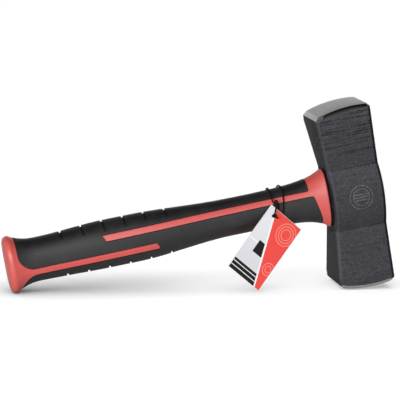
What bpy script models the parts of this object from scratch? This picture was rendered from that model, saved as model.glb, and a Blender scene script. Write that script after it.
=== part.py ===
"""A short-handled club hammer with a two-colour moulded handle and a card tag tied round its neck.

Metres, +Z up. The hammer stands on a floor at z = 0, on the butt of its handle and on one edge of its
lower striking face, with the handle's axis in the plane y = 0. It is built in its own upright frame, with
x along the handle towards the head, z along the head and the eye at the origin, and an empty leans it
into place. The tag hangs plumb, so it is built in the world's frame.
"""

import math

import bmesh
import bpy
from mathutils import Matrix, Vector

# Clearances
GAP = 0.0003  # between pieces that are moulded, bedded or pressed together
BORE_CLEARANCE = 0.0003

# Head, measured from the eye's axis
UPPER_FACE_AT = 0.0719  # crest of each crowned striking face, from the eye's axis
LOWER_FACE_AT = 0.0710
END_BACK = 0.0229  # eye axis to the handle side of a striking end
END_FRONT = 0.0204  # eye axis to the far side of a striking end
END_HALF_THICKNESS = 0.0207
END_DEPTH = 0.010  # straight part of a striking end, below its bevel
PINCH_HEIGHT = 0.0235  # the waists on either side of the eye
PINCH_BACK = 0.0189
PINCH_FRONT = 0.0215
PINCH_HALF_THICKNESS = 0.0160
BOSS_BACK = 0.0194
BOSS_FRONT = 0.0226
BOSS_HALF_THICKNESS = 0.0192
BACK_FLAT_HALF = 0.0126  # seat of the collar, across the handle side
BACK_EDGE_DROP = 0.0016  # how far the handle side falls away beside that seat
BOSS_BACK_EDGE_DROP = 0.0024  # and at the eye
END_EDGE_BEVEL = 0.0014
CHEEK_EDGE_BEVEL = 0.0007
FRONT_EDGE_ROUND = 0.0030
FACE_BEVEL = 0.0018  # height of the bevel round each striking face
FACE_BEVEL_BACK = 0.0027  # and how far it runs in from the handle side, the cheeks and the far side
FACE_BEVEL_CHEEK = 0.0016
FACE_BEVEL_FRONT = 0.0024
CORNER_REACH = 0.0034  # the corner facets of the handle side run this far along the cheeks
CORNER_DROP = 0.0009  # and this much further down
CORNER_SHARES = (0.4, 0.8)  # where their two inner points lie along the rim
CROWN_RADIUS = 0.088
UPPER_CROWN_CENTRE = 0.0078  # the crest of each crown lies this far past the eye's axis
LOWER_CROWN_CENTRE = 0.0015
CROWN_SIDE_RADIUS = 0.170

# Eye, core and resin
EYE_HEIGHT = 0.0310
EYE_WIDTH = 0.0200
EYE_FLARE = 0.0015  # added to each half size at the two mouths
EYE_SQUARENESS = 0.9  # 1 is an ellipse, less is squarer
CORE_HEIGHT = 0.0170
CORE_WIDTH = 0.0125
CORE_CORNER = 0.0035
CORE_IN_HANDLE = 0.205
RESIN_RECESS = 0.0012
CORE_RECESS = 0.0004

# Handle, measured from the collar's seat on the head back to the butt
HANDLE_LENGTH = 0.2489
BUTT_ROUND = 0.0042
BUTT_FALL = 2.5  # how sharply the butt's flare falls away, as a power
LIP_ROUND = 0.0014
SECTION_POWER = 2.35  # 2 is an ellipse, more is squarer
POMMEL_TOP, POMMEL_BOTTOM, POMMEL_HALF_DEPTH = 0.0208, 0.0226, 0.0160
THROAT_TOP, THROAT_BOTTOM, THROAT_HALF_DEPTH = 0.0156, 0.0172, 0.0126
GRIP_TOP, GRIP_BOTTOM, GRIP_HALF_DEPTH = 0.0182, 0.0180, 0.0142
NECK_TOP, NECK_BOTTOM, NECK_HALF_DEPTH = 0.0154, 0.0129, 0.0119
LIP_TOP, LIP_BOTTOM, LIP_HALF_DEPTH = 0.0246, 0.0225, 0.0140
POMMEL_AT = 0.0050  # these four are distances from the butt's end
THROAT_AT = 0.0250
GRIP_FROM = 0.0780
GRIP_TO = 0.0980
NECK_FROM = 0.0770  # these two are distances from the collar's seat
NECK_TO = 0.0653
JACKET_WALL_OUT = 0.0026  # thickness of the soft grip over the hard jacket
STRIPE_RECESS = 0.00025  # the stripes lie this far below the soft grip

# Stripes, cap and collar, as seen from the side
CAP_LENGTH = 0.0086
CAP_UPPER_CORNER = 0.0125  # radii where the lower stripe runs out of the cap
CAP_LOWER_CORNER = 0.0140
STRIPE_WIDTH = 0.0047
STRIPE_SLANT = 0.0026
LOWER_STRIPE_LENGTH = 0.1140  # from the butt to the middle of its slanted end
LOWER_STRIPE_ROOT = -0.0079  # heights of its middle line where it leaves the cap and at its end
LOWER_STRIPE_TIP = -0.0066
UPPER_STRIPE_LENGTH = 0.1742  # from the collar's seat to the middle of its slanted end
UPPER_STRIPE_ROOT = 0.0087
UPPER_STRIPE_TIP = 0.0070
UPPER_STRIPE_ROOT_WIDTH = 0.0041  # the upper stripe narrows towards the collar
COLLAR_TOP_LENGTH = 0.0147
COLLAR_MIDDLE_LENGTH = 0.0115  # just below the upper stripe
COLLAR_BOTTOM_LENGTH = 0.0066
COLLAR_UPPER_CORNER = 0.0014  # radii above and below the stripe's root, and at the foot of the sweep
COLLAR_LOWER_CORNER = 0.0010
COLLAR_SWEEP = 0.0200

# Finger grooves
GROOVE_COUNT = 6
GROOVE_PITCH = 0.01605
FIRST_GROOVE_AT = 0.0442  # from the butt's end
GROOVE_WIDTH = 0.0022
GROOVE_DEPTH = 0.0013
UPPER_GROOVE_REACH = 0.0042  # how far each groove runs down from the crest of the grip
LOWER_GROOVE_REACH = 0.0034  # and up from its underside

# Tag and its string
STRING_DIAMETER = 0.0013
PIVOT_AT = 0.0422  # the point that the tag hangs from: this far from the collar's seat,
PIVOT_OUT = 0.0164  # this far in front of the handle's middle plane
PIVOT_UP = 0.0084  # and this far above the handle's axis
WRAP_SPACING = 2.4 * STRING_DIAMETER  # between the points of the string's middle line
LOOP_TOP_RADIUS = 0.0019
LOOP_BOTTOM_RADIUS = 0.00155
KNOT_RADIUS = 0.0016
KNOT_SCALE = (1.15, 0.85, 1.0)
KNOT_OUT = 0.0010  # the knot's middle stands this far in front of the loop
KNOT_UP = 0.0003  # and this far above the hole
KNOT_ENDS = ((-0.0026, -0.0004, -0.0002), (0.0024, -0.0006, -0.0019))  # tips of its two cut ends
KNOT_END_BOW = 0.0003
TAG_WIDTH = 0.0331
TAG_HEIGHT = 0.0568
TAG_LEAF = 0.0004
TAG_FOLD_GAP = 0.0004
TAG_OPENING = 0.0012  # between the two leaves at their free edges
TAG_HOLE_RADIUS = 0.0015
TAG_HOLE_IN = 0.0066  # from the long edge
TAG_HOLE_DOWN = 0.0058  # from the folded edge
TAG_ROLL = math.radians(38.7)
TAG_YAW = math.radians(15.0)
TAG_DROP = 0.0097  # from the pivot down to the hole
TAG_SHIFT = 0.0021  # from the pivot back along the tag to the hole

SIDES = 32  # facets round the handle
STATION_STEPS = 42  # and lengths along it
CHEEK_STEPS = 6  # points along each cheek of the head
FRONT_EDGE_STEPS = 4
PAST = 0.010  # how far cutters reach past the form they cut
EYE_PAST = 0.004  # the same for the flaring eye,
GROOVE_PAST = 0.002  # for the grooves
HOLE_PAST = 0.004  # and for the card's hole
MITRE_LIMIT = 0.4  # least share of the mitre kept where an outline turns sharply
CROWDING = 9  # the stations crowd towards the handle's two ends; more is evener
STRIPE_TIP_ROUND = 0.0004
SEAT_X = -(BOSS_BACK + GAP)  # the collar's seat
BUTT_X = SEAT_X - HANDLE_LENGTH
STRING_RADIUS = STRING_DIAMETER / 2


def clear_scene():
    for thing in list(bpy.data.objects):
        bpy.data.objects.remove(thing, do_unlink=True)


def material(name, colour, roughness, metallic=0.0):
    made = bpy.data.materials.new(name)
    made.use_nodes = True
    shader = made.node_tree.nodes["Principled BSDF"]
    shader.inputs["Base Color"].default_value = (*colour, 1.0)
    shader.inputs["Roughness"].default_value = roughness
    shader.inputs["Metallic"].default_value = metallic
    return made


def object_from(name, points, faces, finish=None, smooth_angle=30):
    """A closed mesh object with its faces turned outwards."""
    mesh = bpy.data.meshes.new(name)
    mesh.from_pydata([tuple(point) for point in points], [], faces)
    shape = bmesh.new()
    shape.from_mesh(mesh)
    bmesh.ops.recalc_face_normals(shape, faces=shape.faces)
    shape.to_mesh(mesh)
    shape.free()
    mesh.shade_smooth()
    mesh.set_sharp_from_angle(angle=math.radians(smooth_angle))
    made = bpy.data.objects.new(name, mesh)
    bpy.context.scene.collection.objects.link(made)
    if finish:
        mesh.materials.append(finish)
    return made


def loft(name, rings, finish=None, smooth_angle=30):
    """A solid skinned over closed rings of equal count, with flat ends."""
    count = len(rings[0])
    points = [point for ring in rings for point in ring]
    faces = [tuple(range(count)), tuple(range(len(points) - count, len(points)))]
    for row in range(len(rings) - 1):
        for i in range(count):
            j = (i + 1) % count
            near, far = row * count, (row + 1) * count
            faces.append((near + i, near + j, far + j, far + i))
    return object_from(name, points, faces, finish, smooth_angle)


def prism(name, outline, half_depth):
    """A solid with this (x, z) outline, running from -half_depth to half_depth in y."""
    rings = [[Vector((x, y, z)) for x, z in outline] for y in (-half_depth, half_depth)]
    return loft(name, rings)


def boolean(target, tool, operation):
    change = target.modifiers.new(f"{operation.lower()}_{tool.name}", "BOOLEAN")
    change.operation = operation
    change.solver = "EXACT"
    change.object = tool
    tool.hide_render = True
    tool.display_type = "WIRE"


def smoothstep(t):
    t = min(max(t, 0.0), 1.0)
    return t * t * (3 - 2 * t)


def squared(value, power):
    """A sine or cosine raised to this power with its sign kept, which squares up an ellipse below 1."""
    return math.copysign(abs(value) ** power, value)


def between(table, x):
    """Values at x from (x, value, value, ...) rows: a quick fall from the first row, then smooth steps."""
    if x <= table[0][0]:
        return table[0][1:]
    for low, high in zip(table, table[1:]):
        if x <= high[0]:
            t = (x - low[0]) / (high[0] - low[0])
            share = 1 - (1 - t) ** BUTT_FALL if low is table[0] else smoothstep(t)
            return tuple(a + (b - a) * share for a, b in zip(low[1:], high[1:]))
    return table[-1][1:]


def rounded(corners, steps=3):
    """An outline whose (x, z, radius) corners are replaced by arcs."""
    outline = []
    count = len(corners)
    for i, (x, z, radius) in enumerate(corners):
        here = Vector((x, z))
        before = Vector(corners[i - 1][:2]) - here
        after = Vector(corners[(i + 1) % count][:2]) - here
        if radius <= 0:
            outline.append(here)
            continue
        half = before.angle(after) / 2
        tangent = radius / math.tan(half)
        centre = here + (before.normalized() + after.normalized()).normalized() * radius / math.sin(half)
        start = here + before.normalized() * tangent - centre
        turn = start.angle_signed(here + after.normalized() * tangent - centre)
        for k in range(steps + 1):
            angle = -turn * k / steps
            outline.append(centre + Matrix.Rotation(angle, 2) @ start)
    return outline


def grown(outline, distance):
    """The outline moved outwards by this distance; a negative distance shrinks it."""
    count = len(outline)
    area = sum(outline[i - 1].cross(outline[i]) for i in range(count))
    side = math.copysign(1.0, area)
    moved = []
    for i in range(count):
        before = (outline[i] - outline[i - 1]).normalized()
        after = (outline[(i + 1) % count] - outline[i]).normalized()
        normals = [Vector((edge.y, -edge.x)) * side for edge in (before, after)]
        middle = (normals[0] + normals[1]).normalized()
        moved.append(outline[i] + middle * distance / max(middle.dot(normals[0]), MITRE_LIMIT))
    return moved


# Head

HEAD_TABLE = (
    # height, back, back edge, half width of the back flat, half thickness, front
    (0.0, BOSS_BACK, BOSS_BACK - BOSS_BACK_EDGE_DROP, BACK_FLAT_HALF, BOSS_HALF_THICKNESS, BOSS_FRONT),
    (
        PINCH_HEIGHT,
        PINCH_BACK,
        PINCH_BACK - BACK_EDGE_DROP,
        BACK_FLAT_HALF,
        PINCH_HALF_THICKNESS,
        PINCH_FRONT,
    ),
    (
        LOWER_FACE_AT - FACE_BEVEL - END_DEPTH,
        END_BACK,
        END_BACK - END_EDGE_BEVEL,
        END_HALF_THICKNESS - END_EDGE_BEVEL,
        END_HALF_THICKNESS,
        END_FRONT,
    ),
)


def head_sizes(height):
    """The same sizes between the eye and a pinch, at this height above the eye's axis."""
    eye, pinch, _ = HEAD_TABLE
    share = 1 - (height / pinch[0]) ** 2
    return [waist + (boss - waist) * share for boss, waist in zip(eye[1:], pinch[1:])]


def head_outline(sizes, bevelled=False):
    """(x, y) corners of the head's cross-section, or of the rim inside its bevel."""
    back, back_edge, flat, half, front = sizes
    if bevelled:
        back, back_edge = back - FACE_BEVEL_BACK, back_edge - FACE_BEVEL_BACK
        flat, half = flat - FACE_BEVEL_CHEEK, half - FACE_BEVEL_CHEEK
        front -= FACE_BEVEL_FRONT
    corner, cheek = Vector((-back, flat)), Vector((CORNER_REACH - back_edge, half))
    if bevelled:
        side = [corner] + [corner.lerp(cheek, share) for share in CORNER_SHARES]
    else:
        edge = half - CHEEK_EDGE_BEVEL
        side = [corner, Vector((-back_edge, edge)), Vector((CHEEK_EDGE_BEVEL - back_edge, half))]
    centre = Vector((front - FRONT_EDGE_ROUND, half - FRONT_EDGE_ROUND))
    cheek_end = Vector((centre.x, half))
    side += [cheek.lerp(cheek_end, k / CHEEK_STEPS) for k in range(CHEEK_STEPS)]
    for k in range(FRONT_EDGE_STEPS + 1):
        angle = math.pi / 2 * (1 - k / FRONT_EDGE_STEPS)
        side.append(centre + FRONT_EDGE_ROUND * Vector((math.cos(angle), math.sin(angle))))
    return side + [Vector((p.x, -p.y)) for p in reversed(side)]


def end_rings(face_at, crest):
    """Rings of one striking end, from its straight part over its bevel to the middle of its crown."""

    def on_crown(x, y):
        return face_at - (x - crest) ** 2 / (2 * CROWN_RADIUS) - y * y / (2 * CROWN_SIDE_RADIUS)

    start, *sizes = HEAD_TABLE[-1]
    outline = head_outline(sizes)
    shoulder = [Vector((p.x, p.y, on_crown(p.x, p.y) - FACE_BEVEL)) for p in outline]
    for k in (1, 2, -2, -3):
        shoulder[k].z -= CORNER_DROP
    rings = [[Vector((p.x, p.y, start)) for p in outline], shoulder]
    middle = Vector(((END_FRONT - END_BACK) / 2, 0.0))
    for share in (1.0, 0.75, 0.5, 0.25):
        rim = [middle.lerp(point, share) for point in head_outline(sizes, bevelled=True)]
        rings.append([Vector((p.x, p.y, on_crown(p.x, p.y))) for p in rim])
    return rings


def head_rings():
    waist = []
    for k in range(-6, 7):
        z = PINCH_HEIGHT * k / 6
        waist.append([Vector((p.x, p.y, z)) for p in head_outline(head_sizes(z))])
    lower = end_rings(LOWER_FACE_AT, LOWER_CROWN_CENTRE)
    lower = [[Vector((p.x, p.y, -p.z)) for p in ring] for ring in reversed(lower)]
    return lower + waist + end_rings(UPPER_FACE_AT, UPPER_CROWN_CENTRE)


def eye_ring(x, grow):
    """The eye's oval at this place along the handle's axis."""
    share = abs(x) / max(BOSS_BACK, BOSS_FRONT)
    flare = EYE_FLARE * share * share + grow
    steps = 28
    ring = []
    for k in range(steps):
        angle = 2 * math.pi * k / steps
        y = squared(math.cos(angle), EYE_SQUARENESS) * (EYE_WIDTH / 2 + flare)
        z = squared(math.sin(angle), EYE_SQUARENESS) * (EYE_HEIGHT / 2 + flare)
        ring.append(Vector((x, y, z)))
    return ring


def core_ring(x, grow):
    half_y, half_z = CORE_WIDTH / 2 + grow, CORE_HEIGHT / 2 + grow
    corners = [(half_y, half_z), (-half_y, half_z), (-half_y, -half_z), (half_y, -half_z)]
    outline = rounded([(y, z, CORE_CORNER + grow) for y, z in corners], steps=4)
    return [Vector((x, y, z)) for y, z in outline]


def make_head(finish):
    head = loft("head", head_rings(), finish, smooth_angle=22)
    reach = BOSS_FRONT + EYE_PAST
    cutter = loft("eye_cutter", [eye_ring(-reach + reach * k / 4, 0.0) for k in range(9)])
    boolean(head, cutter, "DIFFERENCE")
    return head


def make_core(finish):
    back = SEAT_X - CORE_IN_HANDLE
    return loft("fibreglass_core", [core_ring(back, 0.0), core_ring(BOSS_FRONT - CORE_RECESS, 0.0)], finish)


def make_resin(finish):
    ends = (-BOSS_BACK + GAP, BOSS_FRONT - RESIN_RECESS)
    places = [ends[0] + (ends[1] - ends[0]) * k / 6 for k in range(7)]
    resin = loft("eye_resin", [eye_ring(x, -GAP) for x in places], finish)
    bore = loft(
        "resin_bore", [core_ring(ends[0] - PAST, BORE_CLEARANCE), core_ring(ends[1] + PAST, BORE_CLEARANCE)]
    )
    boolean(resin, bore, "DIFFERENCE")
    return resin


# Handle

HANDLE_TABLE = (
    # x, top, bottom, half depth
    (BUTT_X + POMMEL_AT, POMMEL_TOP, POMMEL_BOTTOM, POMMEL_HALF_DEPTH),
    (BUTT_X + THROAT_AT, THROAT_TOP, THROAT_BOTTOM, THROAT_HALF_DEPTH),
    (BUTT_X + GRIP_FROM, GRIP_TOP, GRIP_BOTTOM, GRIP_HALF_DEPTH),
    (BUTT_X + GRIP_TO, GRIP_TOP, GRIP_BOTTOM, GRIP_HALF_DEPTH),
    (SEAT_X - NECK_FROM, NECK_TOP, NECK_BOTTOM, NECK_HALF_DEPTH),
    (SEAT_X - NECK_TO, NECK_TOP, NECK_BOTTOM, NECK_HALF_DEPTH),
)


# The neck opens into the collar as a slow parabola plus a quick last flare: lip size, slow share, power
FLARES = ((LIP_TOP, 0.35, 6), (LIP_BOTTOM, 0.15, 7), (LIP_HALF_DEPTH, 0.20, 6))


def handle_sizes(x):
    """Top, bottom and half depth of the handle's outer form at this place."""
    if x <= HANDLE_TABLE[-1][0]:
        return between(HANDLE_TABLE, x)
    t = (x - HANDLE_TABLE[-1][0]) / NECK_TO
    sizes = []
    for neck, (lip, slow, power) in zip(HANDLE_TABLE[-1][1:], FLARES):
        sizes.append(neck + (lip - neck) * (slow * t**2 + (1 - slow) * t**power))
    return tuple(sizes)


def handle_point(x, angle, inset=0.0):
    """A point on the handle's form; the angle runs from -y over the top."""
    top, bottom, depth = handle_sizes(x)
    power = 2 / SECTION_POWER
    c, s = math.cos(angle), math.sin(angle)
    y = -squared(c, power) * (depth - inset)
    z = squared(s, power) * ((top if s > 0 else bottom) - inset)
    return Vector((x, y, z))


def handle_ring(x, inset=0.0):
    return [handle_point(x, 2 * math.pi * (k + 0.5) / SIDES, inset) for k in range(SIDES)]


def stations():
    """Places along the handle, closer together where its form turns quickly."""
    start, end = BUTT_X + BUTT_ROUND, SEAT_X - LIP_ROUND
    places = []
    for k in range(STATION_STEPS + 1):
        share = k / STATION_STEPS
        places.append(start + (end - start) * (share - math.sin(2 * math.pi * share) / CROWDING))
    return places


def handle_rings(inset):
    """Rings over the whole handle, with its rounded butt and lip."""
    places = stations()
    rings = []
    for k in range(4):
        angle = math.pi / 2 * k / 4
        x = places[0] - (BUTT_ROUND - inset) * math.cos(angle)
        rings.append(handle_ring(x, inset + BUTT_ROUND * (1 - math.sin(angle))))
    rings += [handle_ring(x, inset) for x in places]
    for k in range(1, 4):
        angle = math.pi / 2 * k / 3
        x = places[-1] + LIP_ROUND * math.sin(angle)
        rings.append(handle_ring(x, inset + LIP_ROUND * (1 - math.cos(angle))))
    return rings


def core_form(name, inset, start, end):
    """A plain length of the handle's form, this far below its surface."""
    places = [start] + [x for x in stations() if start < x < end] + [end]
    return loft(name, [handle_ring(x, inset) for x in places])


def lower_outline():
    """The butt cap and the stripe that runs out of it, as (x, z)."""
    cap = BUTT_X + CAP_LENGTH
    end = BUTT_X + LOWER_STRIPE_LENGTH
    half = STRIPE_WIDTH / 2
    return rounded(
        [
            (BUTT_X - PAST, POMMEL_TOP + PAST, 0),
            (cap, POMMEL_TOP + PAST, 0),
            (cap, LOWER_STRIPE_ROOT + half, CAP_UPPER_CORNER),
            (end - STRIPE_SLANT / 2, LOWER_STRIPE_TIP + half, STRIPE_TIP_ROUND),
            (end + STRIPE_SLANT / 2, LOWER_STRIPE_TIP - half, STRIPE_TIP_ROUND),
            (cap, LOWER_STRIPE_ROOT - half, CAP_LOWER_CORNER),
            (cap, -POMMEL_BOTTOM - PAST, 0),
            (BUTT_X - PAST, -POMMEL_BOTTOM - PAST, 0),
        ],
        steps=7,
    )


def upper_outline():
    """The collar and the stripe that runs out of it, as (x, z)."""
    top = SEAT_X - COLLAR_TOP_LENGTH
    middle = SEAT_X - COLLAR_MIDDLE_LENGTH
    bottom = SEAT_X - COLLAR_BOTTOM_LENGTH
    end = SEAT_X - UPPER_STRIPE_LENGTH
    half = STRIPE_WIDTH / 2
    root_half = UPPER_STRIPE_ROOT_WIDTH / 2
    return rounded(
        [
            (SEAT_X + PAST, LIP_TOP + PAST, 0),
            (top, LIP_TOP + PAST, 0),
            (top, UPPER_STRIPE_ROOT + root_half, COLLAR_UPPER_CORNER),
            (end - STRIPE_SLANT / 2, UPPER_STRIPE_TIP + half, STRIPE_TIP_ROUND),
            (end + STRIPE_SLANT / 2, UPPER_STRIPE_TIP - half, STRIPE_TIP_ROUND),
            (middle, UPPER_STRIPE_ROOT - root_half, COLLAR_LOWER_CORNER),
            (bottom, -NECK_BOTTOM, COLLAR_SWEEP),
            (bottom, -LIP_BOTTOM - PAST, 0),
            (SEAT_X + PAST, -LIP_BOTTOM - PAST, 0),
        ],
        steps=3,
    )


def groove_bands():
    """One mesh of closed bands, each wrapped over the top or the underside of the grip."""
    points, faces = [], []
    steps = 10
    for k in range(GROOVE_COUNT):
        middle = BUTT_X + FIRST_GROOVE_AT + k * GROOVE_PITCH
        for side in (1, -1):
            top, bottom, _ = handle_sizes(middle)
            down = UPPER_GROOVE_REACH / top if side > 0 else LOWER_GROOVE_REACH / bottom
            first = math.asin((1 - down) ** (SECTION_POWER / 2))
            start = len(points)
            for x in (middle - GROOVE_WIDTH / 2, middle + GROOVE_WIDTH / 2):
                for inset in (GROOVE_DEPTH, -GROOVE_PAST):
                    for i in range(steps + 1):
                        angle = side * (first + (math.pi - 2 * first) * i / steps)
                        points.append(handle_point(x, angle, inset))
            count = steps + 1
            inner, outer = start, start + count
            inner2, outer2 = start + 2 * count, start + 3 * count
            for i in range(steps):
                faces.append((inner + i, inner + i + 1, inner2 + i + 1, inner2 + i))
                faces.append((outer + i, outer2 + i, outer2 + i + 1, outer + i + 1))
                faces.append((inner + i, outer + i, outer + i + 1, inner + i + 1))
                faces.append((inner2 + i, inner2 + i + 1, outer2 + i + 1, outer2 + i))
            for i in (0, steps):
                faces.append((inner + i, outer + i, outer2 + i, inner2 + i))
    return object_from("groove_cutter", points, faces)


def make_grip(finish):
    """The soft overmould: the handle's skin with the jacket's body, cap, stripes and collar taken out."""
    grip = loft("soft_grip", handle_rings(0.0), finish)
    hollow = core_form("grip_hollow", JACKET_WALL_OUT - GAP, BUTT_X - PAST, SEAT_X + PAST)
    boolean(grip, hollow, "DIFFERENCE")
    reach = max(POMMEL_HALF_DEPTH, LIP_HALF_DEPTH) + PAST
    for name, outline in (("lower", lower_outline()), ("upper", upper_outline())):
        boolean(grip, prism(f"{name}_window", grown(outline, GAP / 2), reach), "DIFFERENCE")
    boolean(grip, groove_bands(), "DIFFERENCE")
    return grip


def make_jacket(finish):
    """The hard moulding: a slim body inside the grip, with the cap, stripes and collar standing out of it."""
    jacket = loft("hard_jacket", handle_rings(STRIPE_RECESS), finish)
    reach = max(POMMEL_HALF_DEPTH, LIP_HALF_DEPTH) + PAST
    lands = prism("lower_land", grown(lower_outline(), -GAP / 2), reach)
    boolean(lands, prism("upper_land", grown(upper_outline(), -GAP / 2), reach), "UNION")
    body_ends = (BUTT_X + CAP_LENGTH / 2, SEAT_X - COLLAR_BOTTOM_LENGTH / 2)
    body = core_form("jacket_body", JACKET_WALL_OUT, *body_ends)
    boolean(jacket, lands, "INTERSECT")
    boolean(jacket, body, "UNION")
    bore = loft(
        "jacket_bore",
        [
            core_ring(SEAT_X - CORE_IN_HANDLE - BORE_CLEARANCE, BORE_CLEARANCE),
            core_ring(SEAT_X + PAST, BORE_CLEARANCE),
        ],
    )
    boolean(jacket, bore, "DIFFERENCE")
    return jacket


# Placing the hammer


def outer_points():
    """The head's and the handle's outer points in the hammer's own frame, as two lists."""
    head = [point for ring in head_rings() for point in ring]
    handle = [point for ring in handle_rings(STRIPE_RECESS) for point in ring]
    return head, handle


def leaning_matrix():
    """Leans the hammer until its butt and its lower striking face both touch z = 0, centred along x."""
    head, handle = outer_points()
    lean = 0.0
    for _ in range(12):
        turn = Matrix.Rotation(-lean, 3, "Y")
        foot = min(head, key=lambda point: (turn @ point).z)
        heel = min(handle, key=lambda point: (turn @ point).z)
        lean = math.atan2(heel.z - foot.z, foot.x - heel.x)
    turn = Matrix.Rotation(-lean, 4, "Y")
    placed = [turn @ point for point in head + handle]
    middle = (min(point.x for point in placed) + max(point.x for point in placed)) / 2
    return Matrix.Translation((-middle, 0.0, -min(point.z for point in placed))) @ turn


# Tag and string


def smooth_route(route, closed):
    """Many points along a smooth curve through the route's points."""
    count = len(route)
    spans = count if closed else count - 1
    dense = []
    for i in range(spans):
        if closed:
            p0, p1, p2, p3 = (route[(i + k) % count] for k in (-1, 0, 1, 2))
        else:
            p0, p1, p2, p3 = (route[min(max(i + k, 0), count - 1)] for k in (-1, 0, 1, 2))
        for k in range(12):
            t = k / 12
            bend = (2 * p0 - 5 * p1 + 4 * p2 - p3) * t**2 + (3 * p1 - p0 - 3 * p2 + p3) * t**3
            dense.append((2 * p1 + (p2 - p0) * t + bend) / 2)
    dense.append(route[0] if closed else route[-1])
    return dense


def evened(points, spacing):
    """The same path with its points this far apart, first and last kept."""
    length = sum((b - a).length for a, b in zip(points, points[1:]))
    steps = max(2, round(length / spacing))
    found, travelled = [points[0]], 0.0
    for a, b in zip(points, points[1:]):
        step = (b - a).length
        while len(found) < steps and travelled + step >= length * len(found) / steps:
            found.append(a.lerp(b, (length * len(found) / steps - travelled) / step))
        travelled += step
    return found + [points[-1]]


def string_object(name, points, closed, finish):
    """A round string along these points, as a bevelled curve."""
    curve = bpy.data.curves.new(name, "CURVE")
    curve.dimensions = "3D"
    curve.bevel_depth = STRING_RADIUS
    curve.bevel_resolution = 2
    curve.use_fill_caps = True
    spline = curve.splines.new("POLY")
    spline.points.add(len(points) - 1)
    for point, place in zip(spline.points, points):
        point.co = (*place, 1.0)
    spline.use_cyclic_u = closed
    if finish:
        curve.materials.append(finish)
    made = bpy.data.objects.new(name, curve)
    bpy.context.scene.collection.objects.link(made)
    return made


def meshed(string, finish=None):
    """A mesh object of the string's own name and form, which replaces it."""
    name = string.name
    mesh = bpy.data.meshes.new_from_object(string)
    bpy.data.objects.remove(string, do_unlink=True)
    shape = bmesh.new()
    shape.from_mesh(mesh)
    bmesh.ops.remove_doubles(shape, verts=shape.verts, dist=1e-6)
    bmesh.ops.recalc_face_normals(shape, faces=shape.faces)
    shape.to_mesh(mesh)
    shape.free()
    mesh.materials.clear()
    if finish:
        mesh.materials.append(finish)
    mesh.shade_smooth()
    made = bpy.data.objects.new(name, mesh)
    bpy.context.scene.collection.objects.link(made)
    return made


def neck_point(from_seat, degrees, stand_off=0.0):
    """A point of the string's middle line where it lies on the handle, or stands off it."""
    off = GAP + STRING_RADIUS + stand_off
    return handle_point(SEAT_X - from_seat, math.radians(degrees), -off)


def make_wraps(finish):
    """Two turns of string round the neck in one closed loop; its front strand carries the tag."""
    pivot = Vector((SEAT_X - PIVOT_AT, -PIVOT_OUT, PIVOT_UP))
    route = [
        neck_point(0.0398, -88, 0.0017),
        neck_point(0.0408, -50, 0.0012),
        neck_point(0.0406, -14, 0.0001),
        neck_point(0.0401, 5, 0.0002),
        pivot + Vector((0.0020, 0.0019, -0.0019)),
        pivot + Vector((0.0010, 0.0003, -0.0003)),
        pivot,
        pivot + Vector((-0.0010, 0.0002, 0.0003)),
        pivot + Vector((-0.0020, 0.0011, 0.0012)),
        neck_point(0.0440, 52, 0.0010),
        neck_point(0.0436, 78),
        neck_point(0.0433, 100),
        neck_point(0.0431, 128),
        neck_point(0.0430, 155),
        neck_point(0.0428, 180),
        neck_point(0.0424, 205),
        neck_point(0.0417, 232),
        neck_point(0.0402, 258),
        neck_point(0.0388, 285),
        neck_point(0.0384, 312),
        neck_point(0.0377, 338),
        neck_point(0.0365, 362),
        neck_point(0.0350, 390),
        neck_point(0.0341, 418),
        neck_point(0.0341, 445),
        neck_point(0.0346, 470),
        neck_point(0.0353, 500),
        neck_point(0.0362, 530),
        neck_point(0.0366, 560),
        neck_point(0.0372, 588, 0.0003),
        neck_point(0.0382, 612, 0.0013),
    ]
    points = evened(smooth_route(route, closed=True), WRAP_SPACING)
    return string_object("tie_wraps", points[:-1], True, finish)


def make_knot(finish):
    """The small loop that hangs on the front strand and passes through the tag, with its knot and ends."""
    down = Vector((-TAG_SHIFT, 0.0, -TAG_DROP))
    reach = down.length
    down.normalize()
    out = Vector((0.0, -1.0, 0.0))
    bottom = reach - LOOP_BOTTOM_RADIUS
    ring = []
    for k in range(9):
        angle = math.pi * k / 8
        ring.append((-math.cos(angle) * LOOP_TOP_RADIUS, -math.sin(angle) * LOOP_TOP_RADIUS))
    narrowing = LOOP_TOP_RADIUS - LOOP_BOTTOM_RADIUS
    sides = [(LOOP_TOP_RADIUS - narrowing * k / 3, bottom * k / 3) for k in (1, 2)]
    ring += sides
    for k in range(9):
        angle = math.pi * k / 8
        ring.append((math.cos(angle) * LOOP_BOTTOM_RADIUS, bottom + math.sin(angle) * LOOP_BOTTOM_RADIUS))
    ring += [(-across, along) for across, along in reversed(sides)]
    loop_points = [out * across + down * along for across, along in ring]
    knot = meshed(string_object("tie_knot", loop_points, True, None), finish)
    middle = down * (reach - KNOT_UP) + out * (LOOP_BOTTOM_RADIUS + KNOT_OUT)
    ball = bmesh.new()
    bmesh.ops.create_icosphere(ball, subdivisions=2, radius=KNOT_RADIUS)
    mesh = bpy.data.meshes.new("knot_body")
    ball.to_mesh(mesh)
    ball.free()
    body = bpy.data.objects.new("knot_body", mesh)
    bpy.context.scene.collection.objects.link(body)
    body.location = middle
    body.scale = KNOT_SCALE
    parts = [body]
    for name, tip in zip(("end_left", "end_right"), map(Vector, KNOT_ENDS)):
        route = [middle, middle + tip / 2 + out * KNOT_END_BOW, middle + tip]
        points = evened(smooth_route(route, False), STRING_DIAMETER)
        parts.append(meshed(string_object(name, points, False, None)))
    for part in parts:
        boolean(knot, part, "UNION")
    return knot, parts


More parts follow.
